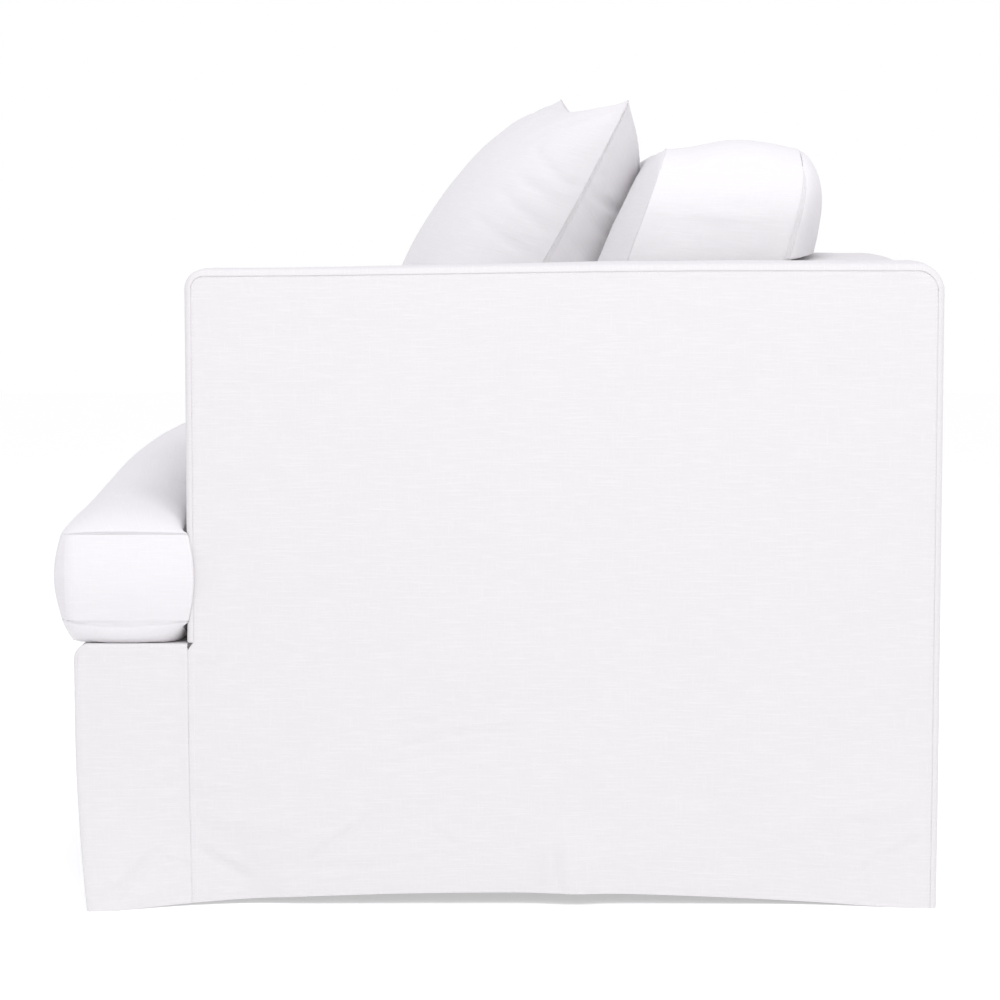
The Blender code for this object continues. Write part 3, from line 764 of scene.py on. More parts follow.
@dataclass(frozen=True)
class FlatPanel:
    """Panel in one plane whose upper corners may be round.

    a runs along the panel and b goes up it. low_front is where its front edge is below the
    deck, if that differs.
    """

    front: float
    rear: float
    low: float
    top: float
    front_radius: float = 0.0
    rear_radius: float = 0.0
    low_front: Optional[float] = None
    step: float = 4.6 * MM
    break_height: float = 0.2868
    break_span: float = 7.8 * MM
    break_fade: float = 20.0 * MM

    def grid(self) -> tuple[Array, Array]:
        """Fine grid of the panel: a and b, rows by columns."""
        near = list(SEAM_STEPS) + [d for d in (17 * MM, 22 * MM) if self.step < 6 * MM]
        a = graded_line(self.front, self.rear, self.step, near)
        b = graded_line(self.low, self.top, self.step, SEAM_STEPS)
        top = np.full_like(a, self.top)
        for radius, from_edge in ((self.front_radius, a - self.front),
                                  (self.rear_radius, self.rear - a)):
            if radius > 0.0:
                inside = np.clip(radius - from_edge, 0.0, radius)
                top -= radius - np.sqrt(radius**2 - inside**2)
        height = (b - self.low)[:, None] * ((top - self.low) / (self.top - self.low))[None, :]
        up = height + self.low
        along = np.repeat(a[None, :], len(b), axis=0)
        near = np.clip(1.0 - (along - self.front) / self.break_fade, 0.0, 1.0)
        return along + self.edge_shift(up) * near, up

    def edge_shift(self, b: Array) -> Array:
        """How far the front edge has moved at heights below the deck."""
        if self.low_front is None:
            return np.zeros_like(b)
        below = np.clip((self.break_height - b) / self.break_span, 0.0, 1.0)
        return (self.low_front - self.front) * below

    def edge_distance(self, a: Array, b: Array) -> Array:
        """Distance of points from the front, top and rear edges, whichever is nearest."""
        front = self.front + self.edge_shift(b)
        away = np.minimum(np.minimum(a - front, self.rear - a), self.top - b)
        for radius, over in ((self.front_radius, self.front + self.front_radius - a),
                             (self.rear_radius, a - self.rear + self.rear_radius)):
            if radius > 0.0:
                up = b - self.top + radius
                corner = (over > 0) & (up > 0)
                away = np.where(corner, radius - np.hypot(over, up), away)
        return away


# Sub-assemblies of the cover


@dataclass
class SidePanels:
    """The two large sides and the short returns in front of them, down to the hem."""

    cutter: ClothCutter
    thread: bpy.types.Material
    roll: SeamRoll = SeamRoll()
    slack: Ripple = Ripple(0.150, 0.036, 0.45 * MM, 0.10, 11)
    stitch_insets: tuple[float, float] = (1.9 * MM, 6.6 * MM)
    edge_dip: float = 0.9 * MM  # the cloth turns in a little towards its edges
    edge_reach: float = 12.0 * MM
    right_creases: tuple[Crease, ...] = (
        Crease((-0.120, 0.168), (0.030, 0.193), 1.5 * MM, 4.0 * MM, bow=0.006),
        Crease((-0.115, 0.194), (-0.045, 0.204), 1.0 * MM, 3.4 * MM, bow=0.002),
        Crease((-0.130, 0.150), (-0.020, 0.168), 0.8 * MM, 6.0 * MM),
        Crease((-0.218, 0.036), (-0.139, 0.094), 1.6 * MM, 4.2 * MM),
        Crease((-0.210, 0.033), (-0.060, 0.045), 1.2 * MM, 6.0 * MM, bow=-0.003),
        Crease((-0.075, 0.081), (-0.042, 0.057), 1.0 * MM, 5.0 * MM),
        Crease((-0.331, 0.062), (-0.270, 0.024), 2.6 * MM, 8.0 * MM),
        Crease((-0.330, 0.098), (-0.215, 0.084), 1.2 * MM, 8.0 * MM, CreaseForm.RIDGE),
        Crease((-0.332, 0.124), (-0.285, 0.122), 1.2 * MM, 4.0 * MM),
        Crease((-0.332, 0.262), (-0.278, 0.270), 1.2 * MM, 4.0 * MM),
        Crease((-0.330, 0.205), (-0.296, 0.212), 0.7 * MM, 4.0 * MM),
        Crease((0.464, 0.073), (0.412, 0.051), 1.8 * MM, 6.5 * MM),
        Crease((0.466, 0.120), (0.380, 0.100), 0.8 * MM, 9.0 * MM, CreaseForm.RIDGE),
        Crease((0.372, 0.090), (0.420, 0.089), 0.8 * MM, 3.5 * MM),
        Crease((0.330, 0.046), (0.392, 0.044), 0.9 * MM, 4.0 * MM, CreaseForm.RIDGE),
        Crease((0.068, 0.000), (0.062, 0.066), 2.2 * MM, 8.0 * MM),
        Crease((0.104, 0.004), (0.100, 0.048), 1.2 * MM, 9.0 * MM, CreaseForm.RIDGE),
        Crease((0.395, 0.010), (0.399, 0.044), 1.4 * MM, 7.0 * MM),
        Crease((0.150, 0.120), (0.300, 0.112), 0.6 * MM, 9.0 * MM, CreaseForm.TROUGH),
    )
    left_creases: tuple[Crease, ...] = (
        Crease((-0.060, 0.182), (0.080, 0.166), 1.4 * MM, 4.2 * MM, bow=0.005),
        Crease((-0.020, 0.206), (0.060, 0.200), 0.9 * MM, 3.6 * MM),
        Crease((-0.190, 0.050), (-0.110, 0.098), 1.5 * MM, 4.4 * MM),
        Crease((-0.331, 0.080), (-0.262, 0.036), 2.2 * MM, 8.0 * MM),
        Crease((-0.332, 0.150), (-0.282, 0.144), 1.0 * MM, 4.2 * MM),
        Crease((-0.332, 0.256), (-0.280, 0.266), 1.1 * MM, 4.0 * MM),
        Crease((0.464, 0.090), (0.400, 0.060), 1.7 * MM, 6.5 * MM),
        Crease((0.020, 0.002), (0.028, 0.070), 2.0 * MM, 8.0 * MM),
        Crease((0.240, 0.050), (0.330, 0.060), 1.0 * MM, 5.5 * MM),
    )
    return_creases: tuple[Crease, ...] = (
        Crease((-0.440, 0.006), (-0.364, 0.062), 3.0 * MM, 9.0 * MM),
        Crease((-0.400, 0.012), (-0.340, 0.022), 1.6 * MM, 9.0 * MM, CreaseForm.RIDGE),
        Crease((-0.372, 0.052), (-0.336, 0.040), 1.4 * MM, 5.0 * MM),
        Crease((-0.400, 0.120), (-0.338, 0.135), 0.9 * MM, 7.0 * MM),
        Crease((-0.366, 0.190), (-0.338, 0.196), 0.6 * MM, 5.0 * MM),
    )

    def side_panel(self) -> FlatPanel:
        """Outline of a large side."""
        plan = self.cutter.plan
        inset = plan.arm_edge + plan.gap
        return FlatPanel(
            plan.arm_front + inset, plan.back - inset, 0.0, plan.arm_top - inset,
            plan.arm_front_radius - inset, plan.rear_top_radius - inset, plan.lower_seam,
        )

    def return_panel(self) -> FlatPanel:
        """Outline of a short return in front of an arm."""
        plan = self.cutter.plan
        inset = plan.base_edge + plan.gap
        return FlatPanel(
            plan.base_front + inset, plan.lower_seam - plan.gap, 0.0, plan.deck - inset,
            plan.nose_radius - inset, step=4.0 * MM,
        )

    def side_relief(self, side: Side, panel: FlatPanel, a: Array, b: Array) -> Array:
        """Outward relief of a large side at points of its face."""
        away = panel.edge_distance(a, b)
        creases = self.right_creases if side is Side.RIGHT else self.left_creases
        relief = self.roll.relief(away, a - b, 20 + side.value)
        relief -= self.edge_dip * np.exp(-np.maximum(away, 0.0) / self.edge_reach)
        free = smooth_step(away / 0.045)
        relief += self.slack.relief(a + 0.3 * side.value, b) * free * (1.15 - 0.8 * b)
        for crease in creases:
            relief += crease.relief(a, b)
        return relief

    def return_relief(self, side: Side, panel: FlatPanel, a: Array, b: Array) -> Array:
        """Outward relief of a short return at points of its face."""
        away = panel.edge_distance(a, b)
        relief = self.roll.relief(away, a + b, 40 + side.value)
        free = smooth_step(away / 0.030)
        relief += self.slack.relief(a * 1.4 + 0.9 * side.value, b) * free
        for crease in self.return_creases:
            relief += crease.relief(a, b + 0.012 * (1 - side.value))
        return relief

    def patch(self, side: Side, a: Array, b: Array, relief: Array) -> Patch:
        """Patch of a face in the plane of a side."""
        return side_patch(side.value * self.cutter.plan.half_width, side.value, a, b, relief)

    def stitch_row(self, side: Side, a: Array, b: Array, relief: Array) -> StitchRow:
        """Row of stitches along points of a side's face."""
        patch = self.patch(side, a, b, relief)
        return StitchRow(patch.face(self.cutter.plan), patch.outward)

    def edge_path(self, panel: FlatPanel, inside: float) -> tuple[Array, Array]:
        """Points a distance inside a large side's front, top and rear edges."""
        low = self.cutter.plan.deck + 6 * MM
        front, rear, top = panel.front + inside, panel.rear - inside, panel.top - inside
        near = max(panel.front_radius - inside, 1.0 * MM)
        far = max(panel.rear_radius - inside, 1.0 * MM)
        turn = np.linspace(0.0, math.pi / 2, 12)
        a = [np.full(200, front), front + near - near * np.cos(turn)]
        b = [np.linspace(low, top - near, 200), top - near + near * np.sin(turn)]
        a.append(np.linspace(front + near, rear - far, 400))
        b.append(np.full(400, top))
        a += [rear - far + far * np.sin(turn), np.full(400, rear)]
        b += [top - far + far * np.cos(turn), np.linspace(top - far, 6 * MM, 400)]
        return np.concatenate(a), np.concatenate(b)

    def build(self) -> None:
        """Make the four panels and their stitches."""
        first_row, second_row = self.stitch_insets
        seam = self.cutter.plan.lower_seam
        up = np.linspace(6 * MM, self.cutter.plan.deck - 12 * MM, 300)
        for side in Side:
            panel = self.side_panel()
            a, b = panel.grid()
            patch = self.patch(side, a, b, self.side_relief(side, panel, a, b))
            paths = [self.edge_path(panel, first_row)]
            paths += [(np.full_like(up, seam + inset), up) for inset in (first_row, second_row)]
            rows = [
                self.stitch_row(side, *at, self.side_relief(side, panel, *at)) for at in paths
            ]
            thread = sew(f"side_stitches_{side.word}", rows, self.thread)
            self.cutter.sheet(
                f"side_panel_{side.word}", patch, Held.HUNG, (0.832, 0.735), stitches=[thread]
            )
            panel = self.return_panel()
            a, b = panel.grid()
            patch = self.patch(side, a, b, self.return_relief(side, panel, a, b))
            self.cutter.sheet(f"front_return_{side.word}", patch, Held.HUNG, (0.142, 0.330))


def arc_path(
    centre: tuple[float, float], radius: float, start: float, end: float, steps: int
) -> Array:
    """Stations of an arc in the YZ plane.

    Args:
        centre: Its centre, y and z.
        radius: Its radius.
        start: First angle from +Y towards +Z, in degrees.
        end: Last angle.
        steps: How many stations.

    Returns:
        Rows of y, z, outward y and outward z.
    """
    angle = np.radians(np.linspace(start, end, steps))
    out = np.stack((np.cos(angle), np.sin(angle)), axis=-1)
    return np.concatenate((np.array(centre) + radius * out, out), axis=1)


def straight_path(start: tuple[float, float], end: tuple[float, float], out: tuple[float, float],
                  step: float) -> Array:
    """Stations of a straight run in the YZ plane, its two ends left out.

    Args:
        start: Where it starts, y and z.
        end: Where it ends.
        out: Outward direction.
        step: Distance between stations.

    Returns:
        Rows of y, z, outward y and outward z.
    """
    length = math.dist(start, end)
    share = np.linspace(0.0, 1.0, max(3, 1 + round(length / step)))[1:-1, None]
    at = np.array(start) * (1 - share) + np.array(end) * share
    return np.concatenate((at, np.repeat([out], len(at), axis=0)), axis=1)


def turned_edge(x: float, radius: float, direction: int, steps: int = 8) -> Array:
    """Profile of an edge that turns down: rows of x, depth, outward x and outward depth."""
    angle = np.linspace(0.0, math.pi / 2, steps)
    out_x, out_depth = direction * np.cos(angle), np.sin(angle)
    centre = x - direction * radius
    rows = (centre + radius * out_x, radius * (1.0 - out_depth), out_x, out_depth)
    return np.stack(rows, axis=-1)


def level_run(start: float, end: float, step: float) -> Array:
    """Profile of a level run from one side's place to another's, both left out."""
    x = graded_line(min(start, end), max(start, end), step)[1:-1]
    x = x if start < end else x[::-1]
    rows = (x, np.zeros_like(x), np.zeros_like(x), np.ones_like(x))
    return np.stack(rows, axis=-1)


@dataclass
class Swept:
    """Strip of cloth whose profile is carried along a path in the YZ plane."""

    path: Array
    profile: Callable[[float], Array]

    def patch(self, relief: Callable[[Array, Array, float, float], Array]) -> Patch:
        """Patch of the strip.

        Args:
            relief: Gives the outward relief from places along the path and across the profile,
                and the lengths of both.

        Returns:
            The patch, a row for each station.
        """
        profiles = np.array([self.profile(y) for y in self.path[:, 0]])
        y, z, out_y, out_z = (self.path[:, k, None] for k in range(4))
        x, depth, out_x, out_d = (profiles[..., k] for k in range(4))
        points = np.stack((x, y - out_y * depth, z - out_z * depth), axis=-1)
        outward = np.stack((out_x, out_y * out_d, out_z * out_d), axis=-1)
        along = np.concatenate(
            ([0.0], np.cumsum(np.hypot(*np.diff(self.path[:, :2], axis=0).T)))
        )
        middle = profiles[0]
        across = np.concatenate(
            ([0.0], np.cumsum(np.hypot(*np.diff(middle[:, :2], axis=0).T)))
        )
        s = np.repeat(along[:, None], len(across), axis=1)
        q = np.repeat(across[None, :], len(along), axis=0)
        return Patch(points, outward, q, s, relief(s, q, along[-1], across[-1]))


@dataclass
class ArmStrips:
    """The strips over the arms' fronts and tops."""

    cutter: ClothCutter
    roll: SeamRoll = SeamRoll()
    slack: Ripple = Ripple(0.090, 0.060, 0.5 * MM, 0.3, 31)
    creases: tuple[Crease, ...] = (
        Crease((0.385, 0.020), (0.402, 0.120), 0.9 * MM, 6.0 * MM),
        Crease((0.200, 0.030), (0.240, 0.110), 0.7 * MM, 7.0 * MM),
        Crease((0.030, 0.040), (0.010, 0.120), 1.1 * MM, 6.0 * MM),
        Crease((1.090, 0.020), (1.110, 0.130), 0.9 * MM, 8.0 * MM),
    )

    def path(self) -> Array:
        """Up an arm's front, over its top and round its rear edge."""
        plan = self.cutter.plan
        low = plan.deck + 1.8 * MM
        first = plan.arm_front + plan.arm_front_radius
        last = plan.back - plan.rear_top_radius
        knee = plan.arm_top - plan.arm_front_radius
        before, behind = plan.back_front - 4 * MM, plan.back_front + plan.gap
        ends = [[plan.arm_front, low + d, -1.0, 0.0] for d in (0.0, *SEAM_STEPS)]
        front = straight_path((ends[-1][0], ends[-1][1]), (plan.arm_front, knee), (-1, 0), 5 * MM)
        top = straight_path((first, plan.arm_top), (before, plan.arm_top), (0, 1), 5 * MM)
        rest = straight_path((behind, plan.arm_top), (last, plan.arm_top), (0, 1), 5 * MM)
        joint = [[before, plan.arm_top, 0.0, 1.0], [behind, plan.arm_top, 0.0, 1.0]]
        return np.concatenate((
            ends, front,
            arc_path((first, knee), plan.arm_front_radius, 180, 90, 12), top, joint, rest,
            arc_path((last, plan.arm_top - plan.rear_top_radius), plan.rear_top_radius, 90, 0, 14),
        ))

    def profile(self, side: Side) -> Callable[[float], Array]:
        """Cross-section of a strip: its inner edge lies flat beside the back's strip."""
        plan = self.cutter.plan
        outer = turned_edge(plan.half_width, plan.arm_edge, 1)
        turned = turned_edge(plan.arm_inner, plan.arm_edge, -1)[::-1]
        flat = np.stack(
            (
                np.maximum(turned[:, 0], plan.arm_inner + plan.gap),
                np.zeros(len(turned)), np.zeros(len(turned)), np.ones(len(turned)),
            ),
            axis=-1,
        )
        between = level_run(outer[-1, 0], turned[0, 0], 6 * MM)
        sign = np.array([side.value, 1.0, side.value, 1.0])

        def at(y: float) -> Array:
            """Profile at one station."""
            inner = turned if y < plan.back_front else flat
            return np.concatenate((outer, between, inner)) * sign

        return at

    def relief(self, side: Side) -> Callable[[Array, Array, float, float], Array]:
        """Relief of one arm's strip."""

        def at(s: Array, q: Array, length: float, width: float) -> Array:
            """Relief at places along and across the strip."""
            lift = self.roll.relief(q, s, 50 + side.value)
            lift += self.roll.relief(width - q, s, 60 + side.value)
            lift += self.roll.relief(np.minimum(s, length - s), q, 70 + side.value)
            free = smooth_step(np.minimum(q, width - q) / 0.030)
            lift += self.slack.relief(s + side.value, q) * free
            for crease in self.creases:
                lift += crease.relief(s - 0.02 * side.value, q) * free
            return lift

        return at

    def build(self) -> None:
        """Make both strips."""
        for side in Side:
            patch = Swept(self.path(), self.profile(side)).patch(self.relief(side))
            self.cutter.sheet(f"arm_strip_{side.word}", patch, Held.STRETCHED, (0.203, 1.262))


def upright_relief(
    panel: "BackPanels | BasePanels", at: tuple[Array, Array, float, float],
    seeds: tuple[int, int], fade: float,
) -> Array:
    """Relief of a wide panel that hangs from its top seam, between its two upright edges.

    Args:
        panel: The panels' seam roll, slack waves and creases.
        at: Places along and across the panel, its length and its width.
        seeds: Seeds of the puckers of its upright edges and of its top seam.
        fade: Distance from an upright edge over which the cloth comes free.

    Returns:
        Outward relief in metres.
    """
    s, q, length, width = at
    beside = np.minimum(q, width - q)
    lift = panel.roll.relief(beside, s, seeds[0])
    lift += panel.roll.relief(length - s, q, seeds[1])
    free = smooth_step(beside / fade)
    lift += panel.slack.relief(q, s) * free
    for crease in panel.creases:
        lift += crease.relief(s, q) * free
    return lift


@dataclass
class BackPanels:
    """The outside of the back, down to the hem, and the crowned strip on its top."""

    cutter: ClothCutter
    roll: SeamRoll = SeamRoll()
    slack: Ripple = Ripple(0.170, 0.045, 0.6 * MM, -0.08, 77)
    creases: tuple[Crease, ...] = (
        Crease((0.120, 0.060), (0.185, 0.250), 1.6 * MM, 7.0 * MM),
        Crease((0.090, 0.300), (0.105, 0.480), 1.2 * MM, 6.0 * MM, bow=0.006),
        Crease((0.020, 0.420), (0.110, 0.455), 2.0 * MM, 10.0 * MM),
        Crease((0.025, 0.700), (0.120, 0.655), 2.0 * MM, 9.0 * MM),
        Crease((0.180, 0.830), (0.125, 1.000), 1.5 * MM, 7.0 * MM),
        Crease((0.060, 0.150), (0.135, 0.100), 1.7 * MM, 8.0 * MM),
        Crease((0.330, 0.120), (0.345, 0.300), 0.8 * MM, 9.0 * MM, CreaseForm.TROUGH),
        Crease((0.055, 0.930), (0.130, 0.965), 1.6 * MM, 8.0 * MM),
    )

    def outside(self) -> Swept:
        """The rear panel, its upright edges turned on to the sides."""
        plan = self.cutter.plan
        top = plan.arm_top - plan.rear_top_radius - plan.gap
        heights = graded_line(0.0, top, 5.2 * MM, SEAM_STEPS)
        path = np.array([[plan.back, z, 1.0, 0.0] for z in heights])
        edge = plan.arm_edge
        profile = np.concatenate((
            turned_edge(plan.half_width, edge, 1),
            level_run(plan.half_width - edge, edge - plan.half_width, 5.2 * MM),
            turned_edge(-plan.half_width, edge, -1)[::-1],
        ))
        return Swept(path, lambda _: profile)

    def strip(self) -> Swept:
        """The strip on the back's top."""
        plan = self.cutter.plan
        front = (plan.back_front + plan.arm_edge, plan.arm_top - plan.arm_edge)
        last = plan.back - plan.rear_top_radius
        path = np.concatenate((
            arc_path(front, plan.arm_edge, 180, 90, 8),
            straight_path((front[0], plan.arm_top), (last, plan.arm_top), (0, 1), 5 * MM),
            arc_path((last, plan.arm_top - plan.rear_top_radius), plan.rear_top_radius, 90, 0, 14),
        ))
        x = graded_line(-plan.arm_inner, plan.arm_inner, 7 * MM, SEAM_STEPS)[::-1]
        zero = np.zeros_like(x)
        profile = np.stack((x, zero, zero, zero + 1.0), axis=-1)
        return Swept(path, lambda _: profile)

    def outside_relief(self, s: Array, q: Array, length: float, width: float) -> Array:
        """Relief of the rear panel."""
        return upright_relief(self, (s, q, length, width), (81, 82), 0.05)

    def strip_relief(self, s: Array, q: Array, length: float, width: float) -> Array:
        """Relief of the top strip."""
        lift = self.roll.relief(np.minimum(q, width - q), s, 83)
        lift += self.roll.relief(np.minimum(s, length - s), q, 84)
        free = smooth_step(np.minimum(s, length - s) / 0.03)
        return lift + self.slack.relief(q, s) * free

    def build(self) -> None:
        """Make both panels."""
        outside = self.outside().patch(self.outside_relief)
        strip = self.strip().patch(self.strip_relief)
        self.cutter.sheet("outside_back", outside, Held.HUNG, (1.05, 0.712))
        self.cutter.sheet("back_strip", strip, Held.STRETCHED, (0.710, 0.196))


@dataclass
class BasePanels:
    """The front of the base, down to the hem, and the bar over its nose."""

    cutter: ClothCutter
    roll: SeamRoll = SeamRoll()
    slack: Ripple = Ripple(0.130, 0.040, 0.6 * MM, 0.06, 97)
    creases: tuple[Crease, ...] = (
        Crease((0.020, 0.075), (0.105, 0.030), 2.4 * MM, 9.0 * MM),
        Crease((0.015, 0.950), (0.095, 1.000), 2.4 * MM, 9.0 * MM),
        Crease((0.180, 0.200), (0.200, 0.340), 1.0 * MM, 6.0 * MM),
        Crease((0.120, 0.610), (0.150, 0.760), 1.2 * MM, 6.0 * MM, bow=0.005),
        Crease((0.004, 0.480), (0.095, 0.500), 2.4 * MM, 10.0 * MM),
        Crease((0.006, 0.300), (0.070, 0.290), 1.8 * MM, 9.0 * MM, CreaseForm.RIDGE),
    )

    def front(self) -> Swept:
        """The front panel, its upright edges turned on to the returns."""
        plan = self.cutter.plan
        top = plan.deck - plan.nose_radius - plan.gap
        heights = graded_line(0.0, top, 5.0 * MM, SEAM_STEPS)
        path = np.array([[plan.base_front, z, -1.0, 0.0] for z in heights])
        return Swept(path, lambda _: self.full_width())

    def full_width(self) -> Array:
        """Profile across the whole base, with both edges turned."""
        plan = self.cutter.plan
        edge = plan.base_edge
        return np.concatenate((
            turned_edge(plan.half_width, edge, 1, 6),
            level_run(plan.half_width - edge, edge - plan.half_width, 5.2 * MM),
            turned_edge(-plan.half_width, edge, -1, 6)[::-1],
        ))

    def bar(self) -> Swept:
        """The bar over the nose, back to the arms' fronts."""
        plan = self.cutter.plan
        nose = (plan.base_front + plan.nose_radius, plan.deck - plan.nose_radius)
        end = plan.arm_front - plan.gap
        path = np.concatenate((
            arc_path(nose, plan.nose_radius, 180, 90, 10),
            straight_path((nose[0], plan.deck), (end, plan.deck), (0, 1), 5 * MM),
            [[end, plan.deck, 0.0, 1.0]],
        ))
        return Swept(path, lambda _: self.full_width())

    def front_relief(self, s: Array, q: Array, length: float, width: float) -> Array:
        """Relief of the front panel."""
        return upright_relief(self, (s, q, length, width), (91, 92), 0.03)

    def bar_relief(self, s: Array, q: Array, length: float, width: float) -> Array:
        """Relief of the bar, which is flat under the cushion."""
        lift = self.roll.relief(np.minimum(q, width - q), s, 93)
        return lift + self.roll.relief(np.minimum(s, length - s), q, 94)

    def build(self) -> None:
        """Make both panels."""
        front = self.front().patch(self.front_relief)
        bar = self.bar().patch(self.bar_relief)
        self.cutter.sheet("front_panel", front, Held.HUNG, (1.045, 0.320))
        self.cutter.sheet("deck_front", bar, Held.STRETCHED, (1.045, 0.152))


@dataclass
class SeatWell:
    """The cloth inside the cover: the arms' inner faces, the back's front face and the deck."""

    cutter: ClothCutter
    roll: SeamRoll = SeamRoll()
    slack: Ripple = Ripple(0.120, 0.070, 0.5 * MM, 0.2, 55)

    def inside_arm(self) -> FlatPanel:
        """Outline of an arm's inner face."""
        plan = self.cutter.plan
        inset = plan.arm_edge + plan.gap
        return FlatPanel(
            plan.arm_front + inset, plan.back_front - 4 * MM, plan.deck + plan.gap,
            plan.arm_top - inset, plan.arm_front_radius - inset, step=8 * MM,
        )

    def arm(self, side: Side) -> None:
        """Make one arm's inner face."""
        panel = self.inside_arm()
        a, b = panel.grid()
        away = panel.edge_distance(a, b)
        relief = self.roll.relief(away, a + b, 100 + side.value)
        relief += self.slack.relief(a, b + side.value) * smooth_step(away / 0.04)
        x = side.value * self.cutter.plan.arm_inner
        patch = side_patch(x, -side.value, a, b, relief)
        self.cutter.sheet(
            f"inside_arm_{side.word}", patch, Held.STRETCHED, (0.675, 0.425), "inner_cloth"
        )

    def level(
        self, name: str, us: Array, ws: Array, upright: bool, flat: tuple[float, float]
    ) -> None:
        """Make the back's front face, which is upright, or the deck, which is level.

        Args:
            name: The node that it stands for.
            us: Places across.
            ws: Places up, or from front to back.
            upright: Whether it stands.
            flat: Its cut size.
        """
        plan = self.cutter.plan
        u, w = np.meshgrid(us, ws)
        still = np.full_like(u, plan.back_front if upright else plan.deck)
        points = np.stack((u, still, w) if upright else (u, w, still), axis=-1)
        outward = np.zeros_like(points)
        outward[..., 1 if upright else 2] = -1.0 if upright else 1.0
        away = np.minimum(np.minimum(u - us[0], us[-1] - u), np.minimum(w - ws[0], ws[-1] - w))
        relief = self.roll.relief(away, u + w, 110) if upright else np.zeros_like(u)
        patch = Patch(points, outward, u, w, relief)
        self.cutter.sheet(name, patch, Held.STRETCHED, flat, "inner_cloth")

    def build(self) -> None:
        """Make the four panels."""
        plan = self.cutter.plan
        for side in Side:
            self.arm(side)
        half = plan.arm_inner - plan.gap
        us = graded_line(-half, half, 9 * MM, SEAM_STEPS)
        top = plan.arm_top - plan.arm_edge - plan.gap
        ws = graded_line(plan.deck + plan.gap, top, 9 * MM, SEAM_STEPS)
        self.level("inside_back", us, ws, True, (0.705, 0.427))
        half = plan.arm_inner + plan.cloth
        us = graded_line(-half, half, 16 * MM)
        ws = graded_line(plan.arm_front, plan.back_front + plan.cloth, 16 * MM)
        self.level("deck", us, ws, False, (0.710, 0.690))


# Filled cushions


@dataclass(frozen=True)
class BlownSkin:
    """Height of an evenly blown skin over a region: 0 at its edge and 1 at its highest."""

    us: Array
    ws: Array
    inside: Callable[[Array, Array], Array]
    cell: float = 6.0 * MM
    steps: int = 5000
    height: Array = field(init=False)

    def __post_init__(self) -> None:
        """Let the skin settle."""
        grid_u = np.arange(self.us[0], self.us[-1] + self.cell / 2, self.cell)
        grid_w = np.arange(self.ws[0], self.ws[-1] + self.cell / 2, self.cell)
        u, w = np.meshgrid(grid_u, grid_w, indexing="ij")
        held = np.array(self.inside(u, w))
        held[0, :] = held[-1, :] = held[:, 0] = held[:, -1] = False
        skin = np.zeros(held.shape)
        for _ in range(self.steps):
            around = skin[:-2, 1:-1] + skin[2:, 1:-1] + skin[1:-1, :-2] + skin[1:-1, 2:]
            skin[1:-1, 1:-1] = np.where(held[1:-1, 1:-1], around / 4 + self.cell**2, 0.0)
        object.__setattr__(self, "height", skin / skin.max())

    def at(self, u: Array, w: Array) -> Array:
        """Height at points, between the grid's own."""
        rows, columns = self.height.shape
        i = np.clip((np.asarray(u) - self.us[0]) / self.cell, 0.0, rows - 1.001)
        j = np.clip((np.asarray(w) - self.ws[0]) / self.cell, 0.0, columns - 1.001)
        a, b = i.astype(int), j.astype(int)
        p, q = i - a, j - b
        near = self.height[a, b] * (1 - q) + self.height[a, b + 1] * q
        far = self.height[a + 1, b] * (1 - q) + self.height[a + 1, b + 1] * q
        return near * (1 - p) + far * p


def filled(share: Array, fullness: float, ease: float = 0.004) -> Array:
    """Height of a filled skin, 0 at its seam and 1 at its highest, from its blown share.

    Args:
        share: Height of the evenly blown skin, from 0 to 1.
        fullness: Power of the share: the lower, the squarer the skin's shoulders.
        ease: How soon the skin leaves its seam at a slant.

    Returns:
        The skin's height.
    """
    seam = ease**fullness
    return ((share + ease) ** fullness - seam) / ((1.0 + ease) ** fullness - seam)


def eased_steps(reach: float, count: int, power: float = 1.9) -> list[float]:
    """Distances from an edge, closest together at the edge."""
    return [reach * ((i + 1) / count) ** power for i in range(count)]


@dataclass(frozen=True)
class Corner:
    """Convex corner of a cushion's outline that is really round."""

    u: float
    w: float
    sign_u: int
    sign_w: int
    radius: float

    def ease(self, u: Array, w: Array) -> tuple[Array, Array]:
        """Move points near the corner on to its round."""
        centre_u = self.u - self.sign_u * self.radius
        centre_w = self.w - self.sign_w * self.radius
        a = (u - centre_u) * self.sign_u / self.radius
        b = (w - centre_w) * self.sign_w / self.radius
        near = (a > 0) & (b > 0)
        proud = np.maximum(np.maximum(a, b), 1.0)
        a, b = a / proud, b / proud
        round_a = a * np.sqrt(np.maximum(1 - b * b / 2, 0.0))
        round_b = b * np.sqrt(np.maximum(1 - a * a / 2, 0.0))
        new_u = centre_u + self.sign_u * round_a * proud * self.radius
        new_w = centre_w + self.sign_w * round_b * proud * self.radius
        return np.where(near, new_u, u), np.where(near, new_w, w)


